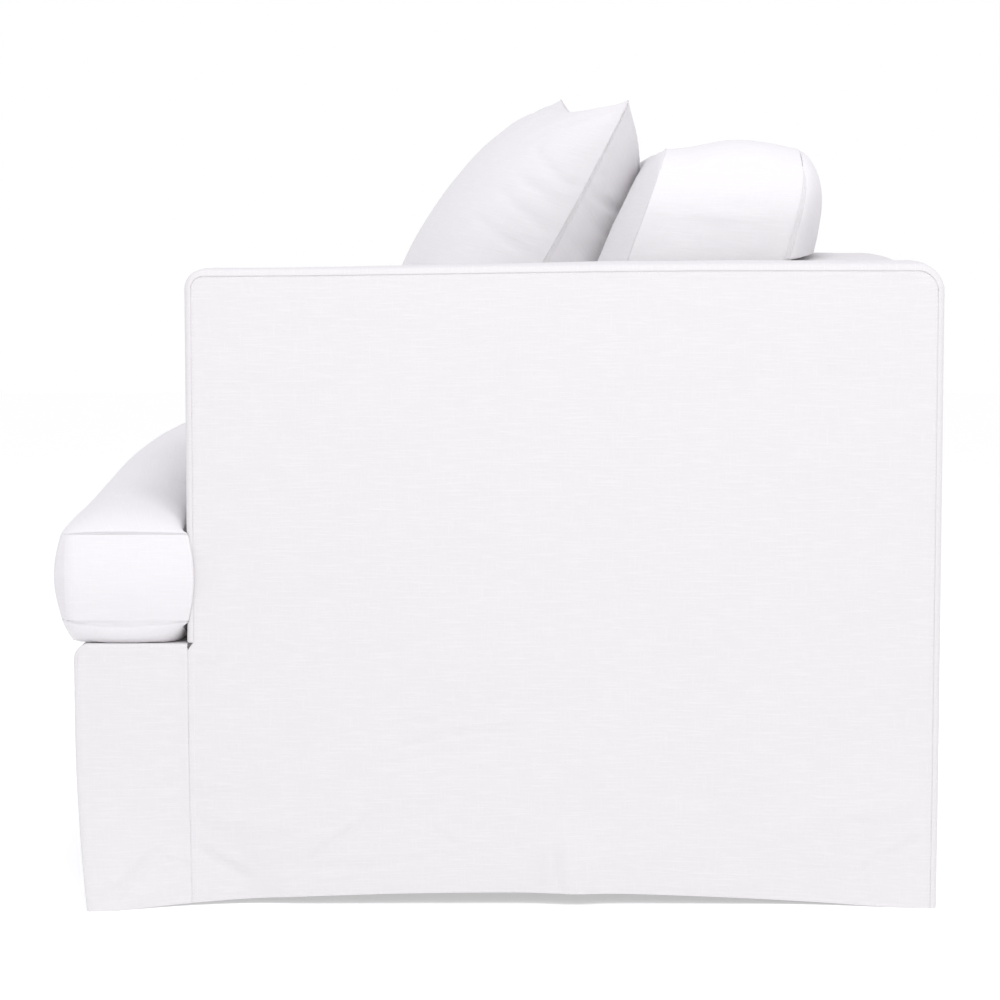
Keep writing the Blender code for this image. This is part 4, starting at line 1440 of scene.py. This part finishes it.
@dataclass
class CushionForm:
    """Closed form of a cushion on a grid: two skins and the boxing between their seams."""

    us: Array
    ws: Array
    inside: Callable[[Array, Array], Array]
    lower: Callable[[Array, Array], Array]
    upper: Callable[[Array, Array], Array]
    rings: Sequence[Callable[[Array, Array, Array, Array], tuple[Array, Array, Array]]]
    place: Callable[[Array, Array, Array], Array]
    weft_over_boxing: bool = False
    points: Array = field(init=False)
    faces: list[tuple[int, ...]] = field(init=False)
    weave: Array = field(init=False)

    def __post_init__(self) -> None:
        """Lay out the grid, its edge and the rings."""
        us, ws = self.us, self.ws
        mid_u, mid_w = np.meshgrid((us[1:] + us[:-1]) / 2, (ws[1:] + ws[:-1]) / 2, indexing="ij")
        cells = self.inside(mid_u, mid_w)
        padded = np.zeros((len(us) + 1, len(ws) + 1), dtype=bool)
        padded[1:-1, 1:-1] = cells
        touching = [padded[i : i + len(us), j : j + len(ws)] for i in (0, 1) for j in (0, 1)]
        used = np.any(touching, axis=0)
        edge = used & ~np.all(touching, axis=0)
        low_low, low_high, high_low, high_high = (t.astype(float) for t in touching)
        out_u = (low_low + low_high) - (high_low + high_high)
        out_w = (low_low + high_low) - (low_high + high_high)
        size = np.maximum(np.hypot(out_u, out_w), 1.0e-9)
        u, w = np.meshgrid(us, ws, indexing="ij")
        points, weave, faces = [], [], []
        count = 0

        def add(mask: Array, t: tuple[Array, Array, Array], cloth: Array) -> Array:
            """Add the points of a mask and return their numbers on the grid."""
            nonlocal count
            index = np.full(mask.shape, -1)
            index[mask] = count + np.arange(mask.sum())
            count += int(mask.sum())
            points.append(self.place(*t))
            weave.append(cloth)
            return index

        ring_index = []
        for ring in self.rings:
            at = ring(u[edge], w[edge], (out_u / size)[edge], (out_w / size)[edge])
            level = np.full(edge.sum(), float(np.mean(at[2])))
            round_edge = u[edge] + w[edge]
            lines = (level, round_edge) if self.weft_over_boxing else (round_edge, level)
            ring_index.append(add(edge, at, np.stack(lines, axis=-1)))
        inner = used & ~edge
        skins = []
        for face, seam in ((self.lower, ring_index[0]), (self.upper, ring_index[-1])):
            t = face(u[inner], w[inner])
            cloth = np.stack((u[inner], w[inner]), axis=-1)
            index = add(inner, (u[inner], w[inner], t), cloth)
            skins.append(np.where(edge, seam, index))
        cell_i, cell_j = np.nonzero(cells)
        for index, flip in zip(skins, (True, False)):
            quad = np.stack((
                index[cell_i, cell_j], index[cell_i + 1, cell_j],
                index[cell_i + 1, cell_j + 1], index[cell_i, cell_j + 1],
            ), axis=-1)
            faces += [tuple(f) for f in (quad[:, ::-1] if flip else quad).tolist()]
        faces += self.boxing(cells, ring_index)
        self.points = np.concatenate(points)
        self.weave = np.concatenate(weave)
        self.faces = faces
        for index in skins:
            self.lay_weave(index, inner)

    def lay_weave(self, index: Array, inner: Array) -> None:
        """Measure the weave of a skin along the cloth, and not over its plan.

        Args:
            index: Numbers of the skin's points on the grid, -1 where there are none.
            inner: Which of them belong to the skin alone.
        """
        there = index >= 0
        at = self.points[np.maximum(index, 0)]
        across = np.linalg.norm(at[1:] - at[:-1], axis=-1) * (there[1:] & there[:-1])
        along = np.linalg.norm(at[:, 1:] - at[:, :-1], axis=-1) * (there[:, 1:] & there[:, :-1])
        weft = np.insert(np.cumsum(across, axis=0), 0, 0.0, axis=0)
        weft -= weft[len(self.us) // 2]
        warp = np.insert(np.cumsum(along, axis=1), 0, 0.0, axis=1)
        self.weave[index[inner]] = np.stack((weft, warp), axis=-1)[inner]

    def boxing(self, cells: Array, rings: Sequence[Array]) -> list[tuple[int, ...]]:
        """Faces between the rings."""
        faces = []
        wide = np.zeros((cells.shape[0] + 2, cells.shape[1] + 2), dtype=bool)
        wide[1:-1, 1:-1] = cells
        borders = []
        sides = (
            ((0, 1), (0, 1), (0, 0)), ((2, 1), (1, 0), (1, 1)),
            ((1, 0), (0, 0), (1, 0)), ((1, 2), (1, 1), (0, 1)),
        )  # for each side of a cell: the cell beyond, in the wide grid, and the side's two ends
        for i, j in zip(*np.nonzero(cells)):
            for (di, dj), (ai, aj), (bi, bj) in sides:
                if not wide[i + di, j + dj]:
                    borders.append(((i + ai, j + aj), (i + bi, j + bj)))
        for low, high in zip(rings, rings[1:]):
            for a, b in borders:
                faces.append((int(low[a]), int(low[b]), int(high[b]), int(high[a])))
        return faces

    def piece(
        self, node: str, finish: bpy.types.Material, fill: float,
        relief: Callable[[Array], Array],
    ) -> None:
        """Make the cushion and log its name and face count.

        Args:
            node: The solid that it stands for.
            finish: Its material.
            fill: How tightly it is filled, from 0 to 1; not used.
            relief: Gives an outward relief for each of its points.
        """
        piece = make_piece(f"{node}_linen", self.points, self.faces, finish, self.weave, 70.0)
        mesh = piece.data
        normals = np.zeros(len(mesh.vertices) * 3)
        mesh.vertex_normals.foreach_get("vector", normals)
        moved = self.points + normals.reshape(-1, 3) * relief(self.points)[:, None]
        mesh.vertices.foreach_set("co", moved.astype(np.float32).ravel())
        mesh.update()
        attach(piece, "root")
        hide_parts(node)
        LOG.info("%s: %d faces", piece.name, len(self.faces))


@dataclass
class SeatCushion:
    """T-shaped seat cushion with plain boxing seams, flat where it lies on the deck."""

    plan: CoverPlan
    finish: bpy.types.Material
    front: float = -0.4725
    back: float = 0.3095
    half: float = 0.327
    ear_half: float = 0.5095
    ear_back: float = -0.339
    low_seam: float = 0.311
    high_seam: float = 0.404
    crown: float = 0.138
    under: float = 0.200
    bulge: float = 8.0 * MM
    tight_bulge: float = 2.0 * MM
    pressed: float = 0.488
    press_span: tuple[float, float] = (-0.30, 0.22)  # where it starts, and how soon it is full
    fullness: float = 0.45
    under_fullness: float = 0.30
    corner_radii: tuple[float, float] = (20.0 * MM, 14.0 * MM)  # at the front, at the back
    clear: float = 0.8 * MM
    hook: float = 11.0 * MM  # an ear's loose end laps over the arm's turned edge
    hook_reach: float = 12.0 * MM
    hook_width: float = 5.0 * MM
    flank: float = 50.0 * MM
    top_groove: float = 0.7 * MM
    low_groove: float = 0.3 * MM
    end_seam: Crease = Crease((-0.3415, 0.308), (-0.3415, 0.407), 0.5 * MM, 1.3 * MM)
    top_creases: tuple[Crease, ...] = (
        Crease((0.336, -0.345), (0.290, -0.290), 2.6 * MM, 9.0 * MM),
        Crease((0.352, -0.350), (0.385, -0.400), 1.8 * MM, 7.0 * MM),
        Crease((0.476, -0.342), (0.436, -0.372), 1.8 * MM, 6.0 * MM),
        Crease((0.420, -0.341), (0.398, -0.362), 1.2 * MM, 5.0 * MM),
        Crease((-0.334, -0.343), (-0.282, -0.300), 2.6 * MM, 9.0 * MM),
        Crease((-0.470, -0.342), (-0.428, -0.378), 1.8 * MM, 6.0 * MM),
        Crease((0.492, -0.455), (0.440, -0.425), 1.6 * MM, 7.0 * MM),
        Crease((-0.492, -0.455), (-0.436, -0.420), 1.6 * MM, 7.0 * MM),
        Crease((0.120, -0.466), (0.110, -0.420), 1.2 * MM, 7.0 * MM),
        Crease((-0.150, -0.466), (-0.165, -0.415), 1.2 * MM, 7.0 * MM),
    )
    skin: BlownSkin = field(init=False)

    def __post_init__(self) -> None:
        """Blow the skin over the T."""
        us, ws = self.lines()
        self.skin = BlownSkin(us, ws, self.inside)

    def inside(self, u: Array, w: Array) -> Array:
        """Whether points of the plan are inside the T."""
        return (np.abs(u) < self.half) | (w < self.ear_back)

    def lines(self) -> tuple[Array, Array]:
        """Grid lines across, and from front to back."""
        near = [0.0] + eased_steps(0.060, 12)
        ear = self.ear_half - np.array(near)
        half = self.half - np.array(near)
        beside = self.half + np.array(eased_steps(0.040, 6))
        join = np.arange(self.half + 0.048, self.ear_half - 0.062, 7 * MM)
        right = np.concatenate((np.linspace(0.0, half[-1], 38), half, beside, join, ear))
        us = np.unique(np.round(np.concatenate((-right, right)), 6))
        first = self.front + np.array(near)
        last = self.ear_back - np.array(near)
        beyond = self.ear_back + np.array(eased_steps(0.040, 6))
        middle = np.arange(self.ear_back + 0.048, self.back - 0.062, 7 * MM)
        end = self.back - np.array(near)
        ws = np.unique(np.round(np.concatenate((first, last, beyond, middle, end)), 6))
        return us, ws

    def top(self, x: Array, y: Array) -> Array:
        """Height of the upper skin, lower where it is leaned on."""
        start, reach = self.press_span
        pressed = smooth_step((np.asarray(y) - start) / reach)
        share = 1.0 - (1.0 - self.pressed) * pressed
        return self.high_seam + self.crown * share * filled(self.skin.at(x, y), self.fullness)

    def lap(self, u: Array, w: Array, t: Array) -> Array:
        """How far an ear's loose end reaches back over the arm's turned edge."""
        inward = np.maximum(self.ear_half - np.abs(u), 0.0) / self.hook_width
        ahead = np.maximum(self.ear_back - w, 0.0) / self.hook_reach
        level = (t - self.low_seam) / (self.high_seam - self.low_seam)
        swell = np.sin(math.pi * np.clip(level, 0.0, 1.0))
        past = np.maximum(t - self.high_seam, self.low_seam - t) / self.hook_reach
        near = np.exp(-(inward**2) - ahead**2 - np.maximum(past, 0.0) ** 2)
        on_ear = w < self.ear_back + self.hook_reach
        return self.hook * (0.6 + 0.4 * swell) * near * on_ear

    def lean(self, u: Array, w: Array, t: Array) -> Array:
        """How far an ear's upper skin is pressed back against the arm's front."""
        behind = np.clip(self.ear_back - w, 0.0, self.flank)
        pressed = 0.75 * (1.0 - smooth_step(behind / self.flank))
        beside = smooth_step((np.abs(u) - self.half) / 0.020)
        return behind * pressed * beside * (t > self.high_seam + 0.01 * MM)

    def build(self) -> None:
        """Make the cushion."""
        us, ws = self.lines()
        ahead, behind = self.corner_radii
        corners = [Corner(s * self.ear_half, self.front, s, -1, ahead) for s in (-1, 1)]
        corners += [Corner(s * self.half, self.back, s, 1, behind) for s in (-1, 1)]

        def lower(u: Array, w: Array) -> Array:
            """Height of the lower skin."""
            free = self.low_seam - self.under * filled(self.skin.at(u, w), self.under_fullness)
            return np.maximum(free, self.plan.deck + self.clear)

        def boxing(share: float) -> Callable[..., tuple[Array, Array, Array]]:
            """One ring of the boxing, at a share of its height."""

            def ring(u: Array, w: Array, out_u: Array, out_w: Array) -> tuple[Array, ...]:
                """Points of the ring."""
                ends = (w < self.ear_back - 0.001) & (
                    (np.abs(out_w + 1) < 0.3) | (np.abs(u) > self.half + 0.01)
                )
                swell = math.sin(math.pi * share) if 0 < share < 1 else 0.0
                push = np.where(ends, self.bulge, self.tight_bulge) * swell
                height = self.low_seam + (self.high_seam - self.low_seam) * share
                inward = (self.ear_half - np.abs(u)) / self.hook_width
                wide = np.where(ends, 0.0, self.bulge - self.tight_bulge) * np.exp(-(inward**2))
                new_u = u + push * out_u + wide * swell * np.sign(u)
                return new_u, w + push * out_w, np.full_like(u, height)

            return ring

        def place(u: Array, w: Array, t: Array) -> Array:
            """Point of the cover's frame."""
            for corner in corners:
                u, w = corner.ease(u, w)
            return np.stack((u, w + self.lap(u, w, t) + self.lean(u, w, t), t), axis=-1)

        shares = (0.0, 0.012, 0.035, 0.075, 0.13, 0.2, 0.28, 0.36, 0.45, 0.55, 0.64, 0.72, 0.8,
                  0.87, 0.925, 0.965, 0.988, 1.0)
        form = CushionForm(
            us, ws, self.inside, lower, self.top, [boxing(s) for s in shares], place
        )
        form.piece("seat_cushion", self.finish, 0.8, self.relief)

    def relief(self, points: Array) -> Array:
        """Soft hollows of the skin and puckers at its seams."""
        x, y, z = points.T
        slack = Ripple(0.110, 0.050, 0.7 * MM, 0.25, 201).relief(x + 0.2 * z, y + 0.4 * z)
        free = smooth_step((z - self.plan.deck - 0.012) / 0.03)
        over, below = np.abs(z - self.high_seam), np.abs(z - self.low_seam)
        groove = -self.top_groove * np.exp(-((over / (1.1 * MM)) ** 2))
        groove -= self.low_groove * np.exp(-((below / (1.1 * MM)) ** 2))
        beside = np.minimum(over, below)
        pull = 0.35 * MM * drawn_thread(x + y, 203) * np.exp(-((beside / 0.012) ** 2))
        between_arms = (np.abs(x) < self.half + 0.003) & (y > self.ear_back)
        tight = np.where(between_arms, smooth_step((z - 0.42) / 0.02), 1.0)
        upper = smooth_step((z - self.high_seam - 3 * MM) / (8 * MM))
        folds = sum(crease.relief(x, y) for crease in self.top_creases) * upper
        folds += self.end_seam.relief(y, z) * (np.abs(x) > self.ear_half)
        return (slack * 0.8 + groove + pull + folds) * free * tight


@dataclass
class PillowAxes:
    """Directions and centre of the leaning pillow."""

    centre: tuple[float, float, float] = (0.0, 0.005, 0.7026)
    lean: float = 30.0
    turn: float = 11.0
    roll: float = -4.0
    across: Array = field(init=False)
    up: Array = field(init=False)
    ahead: Array = field(init=False)

    def __post_init__(self) -> None:
        """Work out the directions."""
        turn, lean, roll = (math.radians(a) for a in (self.turn, self.lean, self.roll))
        level = np.array([math.cos(turn), math.sin(turn), 0.0])
        before = np.array([math.sin(turn), -math.cos(turn), 0.0])
        rise = np.array([0.0, 0.0, 1.0]) * math.cos(lean) - before * math.sin(lean)
        self.across = level * math.cos(roll) + rise * math.sin(roll)
        self.up = rise * math.cos(roll) - level * math.sin(roll)
        self.ahead = np.cross(self.across, self.up)


@dataclass
class ScatterPillow:
    """Knife-edge pillow with drawn-in sides, on the seat and leaning on the back cushion."""

    seat: SeatCushion
    finish: bpy.types.Material
    axes: PillowAxes = field(default_factory=PillowAxes)
    half: float = 0.228
    crown: tuple[float, float] = (0.101, 0.140)
    sunk: tuple[float, float] = (0.12, 0.20)
    draw: float = 0.027
    ear_round: float = 0.012
    fullness: tuple[float, float] = (0.50, 0.34)
    ease: float = 0.012
    sag: tuple[float, float] = (0.041, -0.011)
    clear: float = 0.8 * MM
    seam_bow: float = 14.0 * MM  # the right-hand seam bows towards the rear
    seam_ridge: float = 0.9 * MM
    front_creases: tuple[Crease, ...] = (
        Crease((0.210, 0.104), (0.150, 0.128), 1.3 * MM, 7.0 * MM),
        Crease((0.200, 0.086), (0.165, 0.088), 0.9 * MM, 5.0 * MM),
        Crease((0.210, 0.072), (0.150, 0.094), 1.0 * MM, 6.0 * MM),
        Crease((0.208, 0.046), (0.150, 0.064), 1.1 * MM, 6.5 * MM),
        Crease((0.202, 0.012), (0.140, 0.022), 1.0 * MM, 7.0 * MM),
        Crease((0.150, 0.150), (0.165, 0.100), 0.8 * MM, 7.0 * MM, CreaseForm.TROUGH),
        Crease((0.212, 0.210), (0.120, 0.140), 2.6 * MM, 9.0 * MM),
        Crease((-0.212, 0.210), (-0.130, 0.128), 2.6 * MM, 9.0 * MM),
        Crease((-0.214, 0.120), (-0.150, 0.105), 2.0 * MM, 6.0 * MM),
        Crease((-0.214, 0.010), (-0.155, 0.020), 1.8 * MM, 6.0 * MM),
        Crease((0.060, 0.205), (0.045, 0.150), 1.6 * MM, 7.0 * MM),
        Crease((-0.070, 0.205), (-0.040, 0.155), 1.6 * MM, 7.0 * MM),
        Crease((0.205, -0.200), (0.130, -0.140), 2.6 * MM, 9.0 * MM),
        Crease((-0.205, -0.200), (-0.140, -0.130), 2.6 * MM, 9.0 * MM),
    )
    rear_creases: tuple[Crease, ...] = (
        Crease((0.220, 0.108), (0.160, 0.120), 2.6 * MM, 6.0 * MM),
        Crease((0.220, 0.090), (0.165, 0.074), 1.8 * MM, 5.0 * MM),
        Crease((0.222, 0.046), (0.140, 0.004), 2.2 * MM, 6.5 * MM, CreaseForm.RIDGE),
        Crease((0.222, 0.030), (0.145, -0.014), 2.0 * MM, 6.0 * MM),
        Crease((0.212, 0.210), (0.130, 0.135), 2.4 * MM, 9.0 * MM),
    )
    skin: BlownSkin = field(init=False)

    def __post_init__(self) -> None:
        """Blow the skin over the square."""
        line = np.array([-self.half, self.half])
        self.skin = BlownSkin(line, line, self.inside, 4.0 * MM, 9000)

    def inside(self, u: Array, w: Array) -> Array:
        """Whether points are inside the square."""
        return np.maximum(np.abs(u), np.abs(w)) < self.half

    def bow(self, u: Array, w: Array) -> Array:
        """How far the pillow has moved back beside its bowed right-hand seam."""
        beside = np.clip(u / self.half, 0.0, 1.0) ** 5
        return self.seam_bow * (1.0 - (w / self.half) ** 2) * beside

    def front(self, u: Array, w: Array) -> Array:
        """Place of the front skin, fuller below, where the filling has sunk."""
        sunk = 1.0 - self.sunk[0] * w / self.half
        return self.crown[0] * sunk * filled(self.skin.at(u, w), self.fullness[0], self.ease)

    def rear(self, u: Array, w: Array) -> Array:
        """Place of the rear skin, before the seam's bow."""
        sunk = 1.0 - self.sunk[1] * w / self.half
        return -self.crown[1] * sunk * filled(self.skin.at(u, w), self.fullness[1], self.ease)

    def place(self, u: Array, w: Array, t: Array) -> Array:
        """Point of the cover's frame."""
        draw_u = self.draw * (1.0 - (w / self.half) ** 2) * np.abs(u / self.half) ** 3
        draw_w = self.draw * (1.0 - (u / self.half) ** 2) * np.abs(w / self.half) ** 3
        t = t - self.bow(u, w)
        for sign_u, sign_w in ((-1, -1), (-1, 1), (1, -1), (1, 1)):
            ear = Corner(sign_u * self.half, sign_w * self.half, sign_u, sign_w, self.ear_round)
            u, w = ear.ease(u, w)
        u, w = u - np.sign(u) * draw_u, w - np.sign(w) * draw_w
        parts = (self.axes.across, self.axes.up, self.axes.ahead)
        point = np.array(self.axes.centre) + sum(
            np.multiply.outer(k, part) for k, part in zip((u, w, t), parts)
        )
        sag = (self.sag[0] + self.sag[1] * u / self.half) * (w / self.half) ** 2
        point[:, 2] -= np.where(w < 0, sag, 0.0)
        floor = self.seat.top(point[:, 0], point[:, 1]) + self.clear
        point[:, 2] = np.where(w < 0, np.maximum(point[:, 2], floor), point[:, 2])
        return point

    def build(self) -> None:
        """Make the pillow."""
        line = graded_line(-self.half, self.half, 6 * MM, eased_steps(0.050, 12))

        def edge(u: Array, w: Array, _out_u: Array, _out_w: Array) -> tuple[Array, ...]:
            """The knife edge."""
            return u, w, np.zeros_like(u)

        form = CushionForm(line, line, self.inside, self.rear, self.front, [edge], self.place)
        form.piece("pillow", self.finish, 0.75, self.relief)

    def relief(self, points: Array) -> Array:
        """Radiating creases, slack waves and the ridge of the knife edge."""
        local = points - np.array(self.axes.centre)
        u, w, t = local @ self.axes.across, local @ self.axes.up, local @ self.axes.ahead
        rear = t < 0.0
        drawn = self.half - self.draw * (1.0 - (w / self.half) ** 2)
        drawn_up = self.half - self.draw * (1.0 - (u / self.half) ** 2)
        away = np.maximum(np.minimum(drawn - np.abs(u), drawn_up - np.abs(w)), 0.0)
        free = smooth_step(away / (9.0 * MM))
        front = sum(crease.relief(u, w) for crease in self.front_creases)
        back = sum(crease.relief(u, w) for crease in self.rear_creases)
        slack = Ripple(0.090, 0.040, 0.8 * MM, 0.9, 301).relief(u, w + 3.0 * rear)
        pull = 0.5 * MM * drawn_thread(u - w, 303) * np.exp(-((away / 0.014) ** 2))
        ridge = self.seam_ridge * np.exp(-((away / (1.8 * MM)) ** 2))
        lower = smooth_step((w + self.half * 0.75) / 0.06)
        return (np.where(rear, back, front) * free + slack * free + pull + ridge) * lower


@dataclass
class BackCushion:
    """Boxed back cushion, pressed by the seat, the back and the pillow.

    It has sunk back without turning: u is x, w goes straight up and t straight back.
    """

    plan: CoverPlan
    pillow: ScatterPillow
    finish: bpy.types.Material
    half: float = 0.323
    height: float = 0.3555
    box: float = 0.171
    foot: tuple[float, float] = (0.0675, 0.4725)
    slope: float = 0.36
    crown: tuple[float, float] = (0.052, 0.058)
    ends: float = 0.80
    bulge: float = 0.010
    corner: float = 0.085
    shoulder: tuple[float, float] = (0.080, 0.030)
    ledge_clear: float = 1.5 * MM
    ledge_ease: float = 0.004
    ledge_fade: float = 0.060
    fullness: float = 0.45
    seam_ease: tuple[float, float] = (0.0004, 0.0015)  # of the front skin, of the rear skin
    pillow_clear: float = 1.5 * MM
    groove: float = 0.4 * MM
    side_creases: tuple[Crease, ...] = (
        Crease((0.237, 0.801), (0.268, 0.797), 1.8 * MM, 5.5 * MM),
        Crease((0.256, 0.804), (0.260, 0.815), 1.2 * MM, 5.0 * MM),
        Crease((0.278, 0.772), (0.292, 0.759), 1.6 * MM, 5.5 * MM),
        Crease((0.238, 0.749), (0.288, 0.744), 1.4 * MM, 6.0 * MM, CreaseForm.TROUGH),
        Crease((0.242, 0.768), (0.230, 0.746), 1.5 * MM, 6.0 * MM),
    )

    def inside(self, u: Array, w: Array) -> Array:
        """Whether points are inside the cushion's face."""
        return (np.abs(u) < self.half) & (w > 0) & (w < self.height)

    def build(self) -> None:
        """Make the cushion."""
        near = eased_steps(0.055, 12)
        us = graded_line(-self.half, self.half, 6.5 * MM, near)
        ledge = self.plan.arm_top + self.plan.back_crown + self.ledge_clear - self.foot[1]
        ws = graded_line(0.0, self.height, 6.5 * MM, near)
        rows = ledge + MM * np.array([0.0, 0.8, 2.0, 4.0, 8.0])
        ws = np.unique(np.round(np.concatenate((ws, rows)), 6))
        skin = BlownSkin(us, ws, self.inside)
        wall_y = self.plan.back_front - 0.8 * MM
        corners = [Corner(s * self.half, self.height, s, 1, self.corner) for s in (-1, 1)]
        front, rear = self.crown
        tall, reach = self.shoulder

        def front_face(u: Array, w: Array) -> Array:
            """Place of the front skin, flatter at the cushion's two ends."""
            flatter = 1.0 - self.ends * (u / self.half) ** 2
            return -front * flatter * filled(skin.at(u, w), self.fullness, self.seam_ease[0])

        def rear_face(u: Array, w: Array) -> Array:
            """Place of the rear skin, flat on the back's front face."""
            free = self.box + rear * filled(skin.at(u, w), self.fullness, self.seam_ease[1])
            at_wall = wall_y - self.foot[0] - w * self.slope
            spread = 1.0 - (1.0 - np.clip((w - ledge) / self.ledge_ease, 0.0, 1.0)) ** 2
            return np.where(free < at_wall, free, at_wall + (free - at_wall) * spread)

        def boxing(share: float) -> Callable[..., tuple[Array, Array, Array]]:
            """One ring of the boxing, at a share of its width."""

            def ring(u: Array, w: Array, out_u: Array, out_w: Array) -> tuple[Array, ...]:
                """Points of the ring."""
                swell = math.sin(math.pi * share) if 0 < share < 1 else 0.0
                swell *= float(smooth_step(np.array(2.5 * share)))
                seam = self.groove * math.exp(-(((1.0 - share) / 0.006) ** 2))
                seam -= self.groove * math.exp(-(((0.98 - share) / 0.012) ** 2))
                push = self.bulge * swell * np.where(np.abs(out_u) > 0.9, 0.5, 1.0) - seam
                return u + push * out_u, w + push * out_w, np.full_like(u, self.box * share)

            return ring

        def place(u: Array, w: Array, t: Array) -> Array:
            """Point of the cover's frame."""
            for corner in corners:
                u, w = corner.ease(u, w)
            above = np.maximum(0.0, w - self.height + tall) / tall
            t = t - reach * above**2 * np.maximum(0.0, t / self.box - 0.4)
            point = np.stack(
                (u, self.foot[0] + t + w * self.slope, self.foot[1] + np.maximum(w, 0.0)), axis=-1
            )
            near_ledge = smooth_step(1.0 - np.abs(w - ledge) / self.ledge_fade)
            drop = self.plan.back_crown * (u / self.plan.arm_inner) ** 2
            point[:, 2] -= drop * near_ledge * smooth_step(t / self.box)
            axes, pillow = self.pillow.axes, self.pillow
            local = point - np.array(axes.centre)
            pu, pw, pt = local @ axes.across, local @ axes.up, local @ axes.ahead
            behind = pillow.rear(pu, pw) - pillow.bow(pu, pw)
            move = np.minimum(0.0, behind - self.pillow_clear - pt)
            near = np.maximum(np.abs(pu), np.abs(pw)) < pillow.half
            return point + np.multiply.outer(np.where(near, move, 0.0), axes.ahead)

        shares = (0.0, 0.01, 0.03, 0.06, 0.11, 0.18, 0.27, 0.38, 0.5, 0.62, 0.73, 0.82, 0.89,
                  0.94, 0.97, 0.99, 1.0)
        form = CushionForm(
            us, ws, self.inside, front_face, rear_face, [boxing(s) for s in shares], place,
            weft_over_boxing=True,
        )
        form.piece("back_cushion", self.finish, 0.8, self.relief)

    def relief(self, points: Array) -> Array:
        """Creases of the boxing's ends and slack waves of the whole cover."""
        x, y, z = points.T
        ends = smooth_step((np.abs(x) - self.half + 0.012) / 0.010)
        folds = sum(crease.relief(y, z) for crease in self.side_creases) * ends
        slack = Ripple(0.100, 0.045, 0.8 * MM, 0.5, 401).relief(x + 0.5 * y, z + 0.3 * y)
        free = smooth_step((z - self.plan.arm_top - 0.030) / 0.030)
        return (folds + slack) * free


# Studio


@dataclass(frozen=True)
class SoftLamp:
    """Large round lamp that lights the object from the camera's side."""

    name: str
    place: tuple[float, float, float]
    size: float
    watts: float


@dataclass
class Studio:
    """Pale paper floor, soft light from all around, two large soft lamps and the camera."""

    paper: bpy.types.Material
    eye: tuple[float, float, float] = (3.51, 0.0035, 0.692)
    pitch: float = 85.225
    heading: float = 90.0
    lens: float = 100.8
    lamp_aim: tuple[float, float, float] = (0.3, 0.0, 0.45)
    lamps: tuple[SoftLamp, ...] = (
        SoftLamp("upper_soft_lamp", (2.1, 0.1, 3.3), 1.6, 50.0),
        SoftLamp("low_soft_lamp", (3.6, 1.8, 1.4), 1.4, 9.0),
    )
    sky: float = 1.0
    horizon: str = "#FFFFFF"
    zenith: str = "#DCDBE2"

    def floor(self) -> None:
        """Lay the paper: a round sheet that ends far behind the object."""
        count, radii = 96, (0.6, 1.2, 2.5, 5.0, 12.0)
        turn = np.linspace(0.0, 2 * math.pi, count + 1)[:-1]
        points = [(0.0, 0.0, 0.0)]
        for radius in radii:
            points += [(radius * math.cos(a), radius * math.sin(a), 0.0) for a in turn]
        around = [(k, (k + 1) % count) for k in range(count)]
        faces: list[tuple[int, ...]] = [(0, 1 + k, 1 + n) for k, n in around]
        for ring in range(len(radii) - 1):
            a = 1 + count * ring
            faces += [(a + k, a + count + k, a + count + n, a + n) for k, n in around]
        paper = make_piece("studio_floor", np.array(points), faces, self.paper)

    def light(self) -> None:
        """Set the light from all around, dimmer overhead, and the lamps."""
        world = bpy.data.worlds.new("studio_white")
        world.use_nodes = True
        bpy.context.scene.world = world
        tree = world.node_tree
        back = tree.nodes["Background"]
        back.inputs["Strength"].default_value = self.sky
        place = add_node(tree, "ShaderNodeTexCoord")
        axes = add_node(tree, "ShaderNodeSeparateXYZ", {}, {0: place.outputs["Generated"]})
        height = remap(
            tree, axes.outputs["Z"],
            {"From Min": 0.10, "From Max": 0.85, "interpolation_type": "SMOOTHSTEP"},
        )
        tree.links.new(blend(tree, self.horizon, self.zenith, height), back.inputs["Color"])
        for soft in self.lamps:
            data = bpy.data.lights.new(soft.name, "AREA")
            data.shape, data.size, data.energy = "DISK", soft.size, soft.watts
            lamp = bpy.data.objects.new(soft.name, data)
            lamp.location = soft.place
            away = np.subtract(soft.place, self.lamp_aim)
            flat = math.hypot(away[0], away[1])
            lamp.rotation_euler = (math.atan2(flat, away[2]), 0.0, math.atan2(away[0], -away[1]))
            bpy.context.scene.collection.objects.link(lamp)

    def camera(self) -> None:
        """Set the camera where the photograph was taken from."""
        data = bpy.data.cameras.new("camera")
        data.lens, data.sensor_width = self.lens, 36.0
        camera = bpy.data.objects.new("camera", data)
        camera.location = self.eye
        camera.rotation_euler = (math.radians(self.pitch), 0.0, math.radians(self.heading))
        bpy.context.scene.collection.objects.link(camera)
        bpy.context.scene.camera = camera

    def build(self) -> None:
        """Set up the floor, the light and the camera."""
        self.floor()
        self.light()
        self.camera()
        bpy.context.scene.view_settings.view_transform = "Standard"


def main() -> None:
    """Build the cover, its cushions and the studio."""
    logging.basicConfig(level=logging.INFO, format="%(name)s: %(message)s")
    cover = ClothCutter(PLAN, COVER_LINEN.build())
    inner = ClothCutter(PLAN, INNER_LINEN_PAINTED_LIGHTER.build())
    thread = THREAD.build()
    cushion = CUSHION_LINEN_PAINTED_LIGHTER.build()
    SidePanels(cover, thread).build()
    ArmStrips(cover).build()
    BackPanels(cover).build()
    BasePanels(cover).build()
    SeatWell(inner).build()
    seat = SeatCushion(PLAN, cushion)
    seat.build()
    pillow = ScatterPillow(seat, cushion)
    pillow.build()
    BackCushion(PLAN, pillow, cushion).build()
    Studio(PAPER.build()).build()


if __name__ == "__main__":
    main()
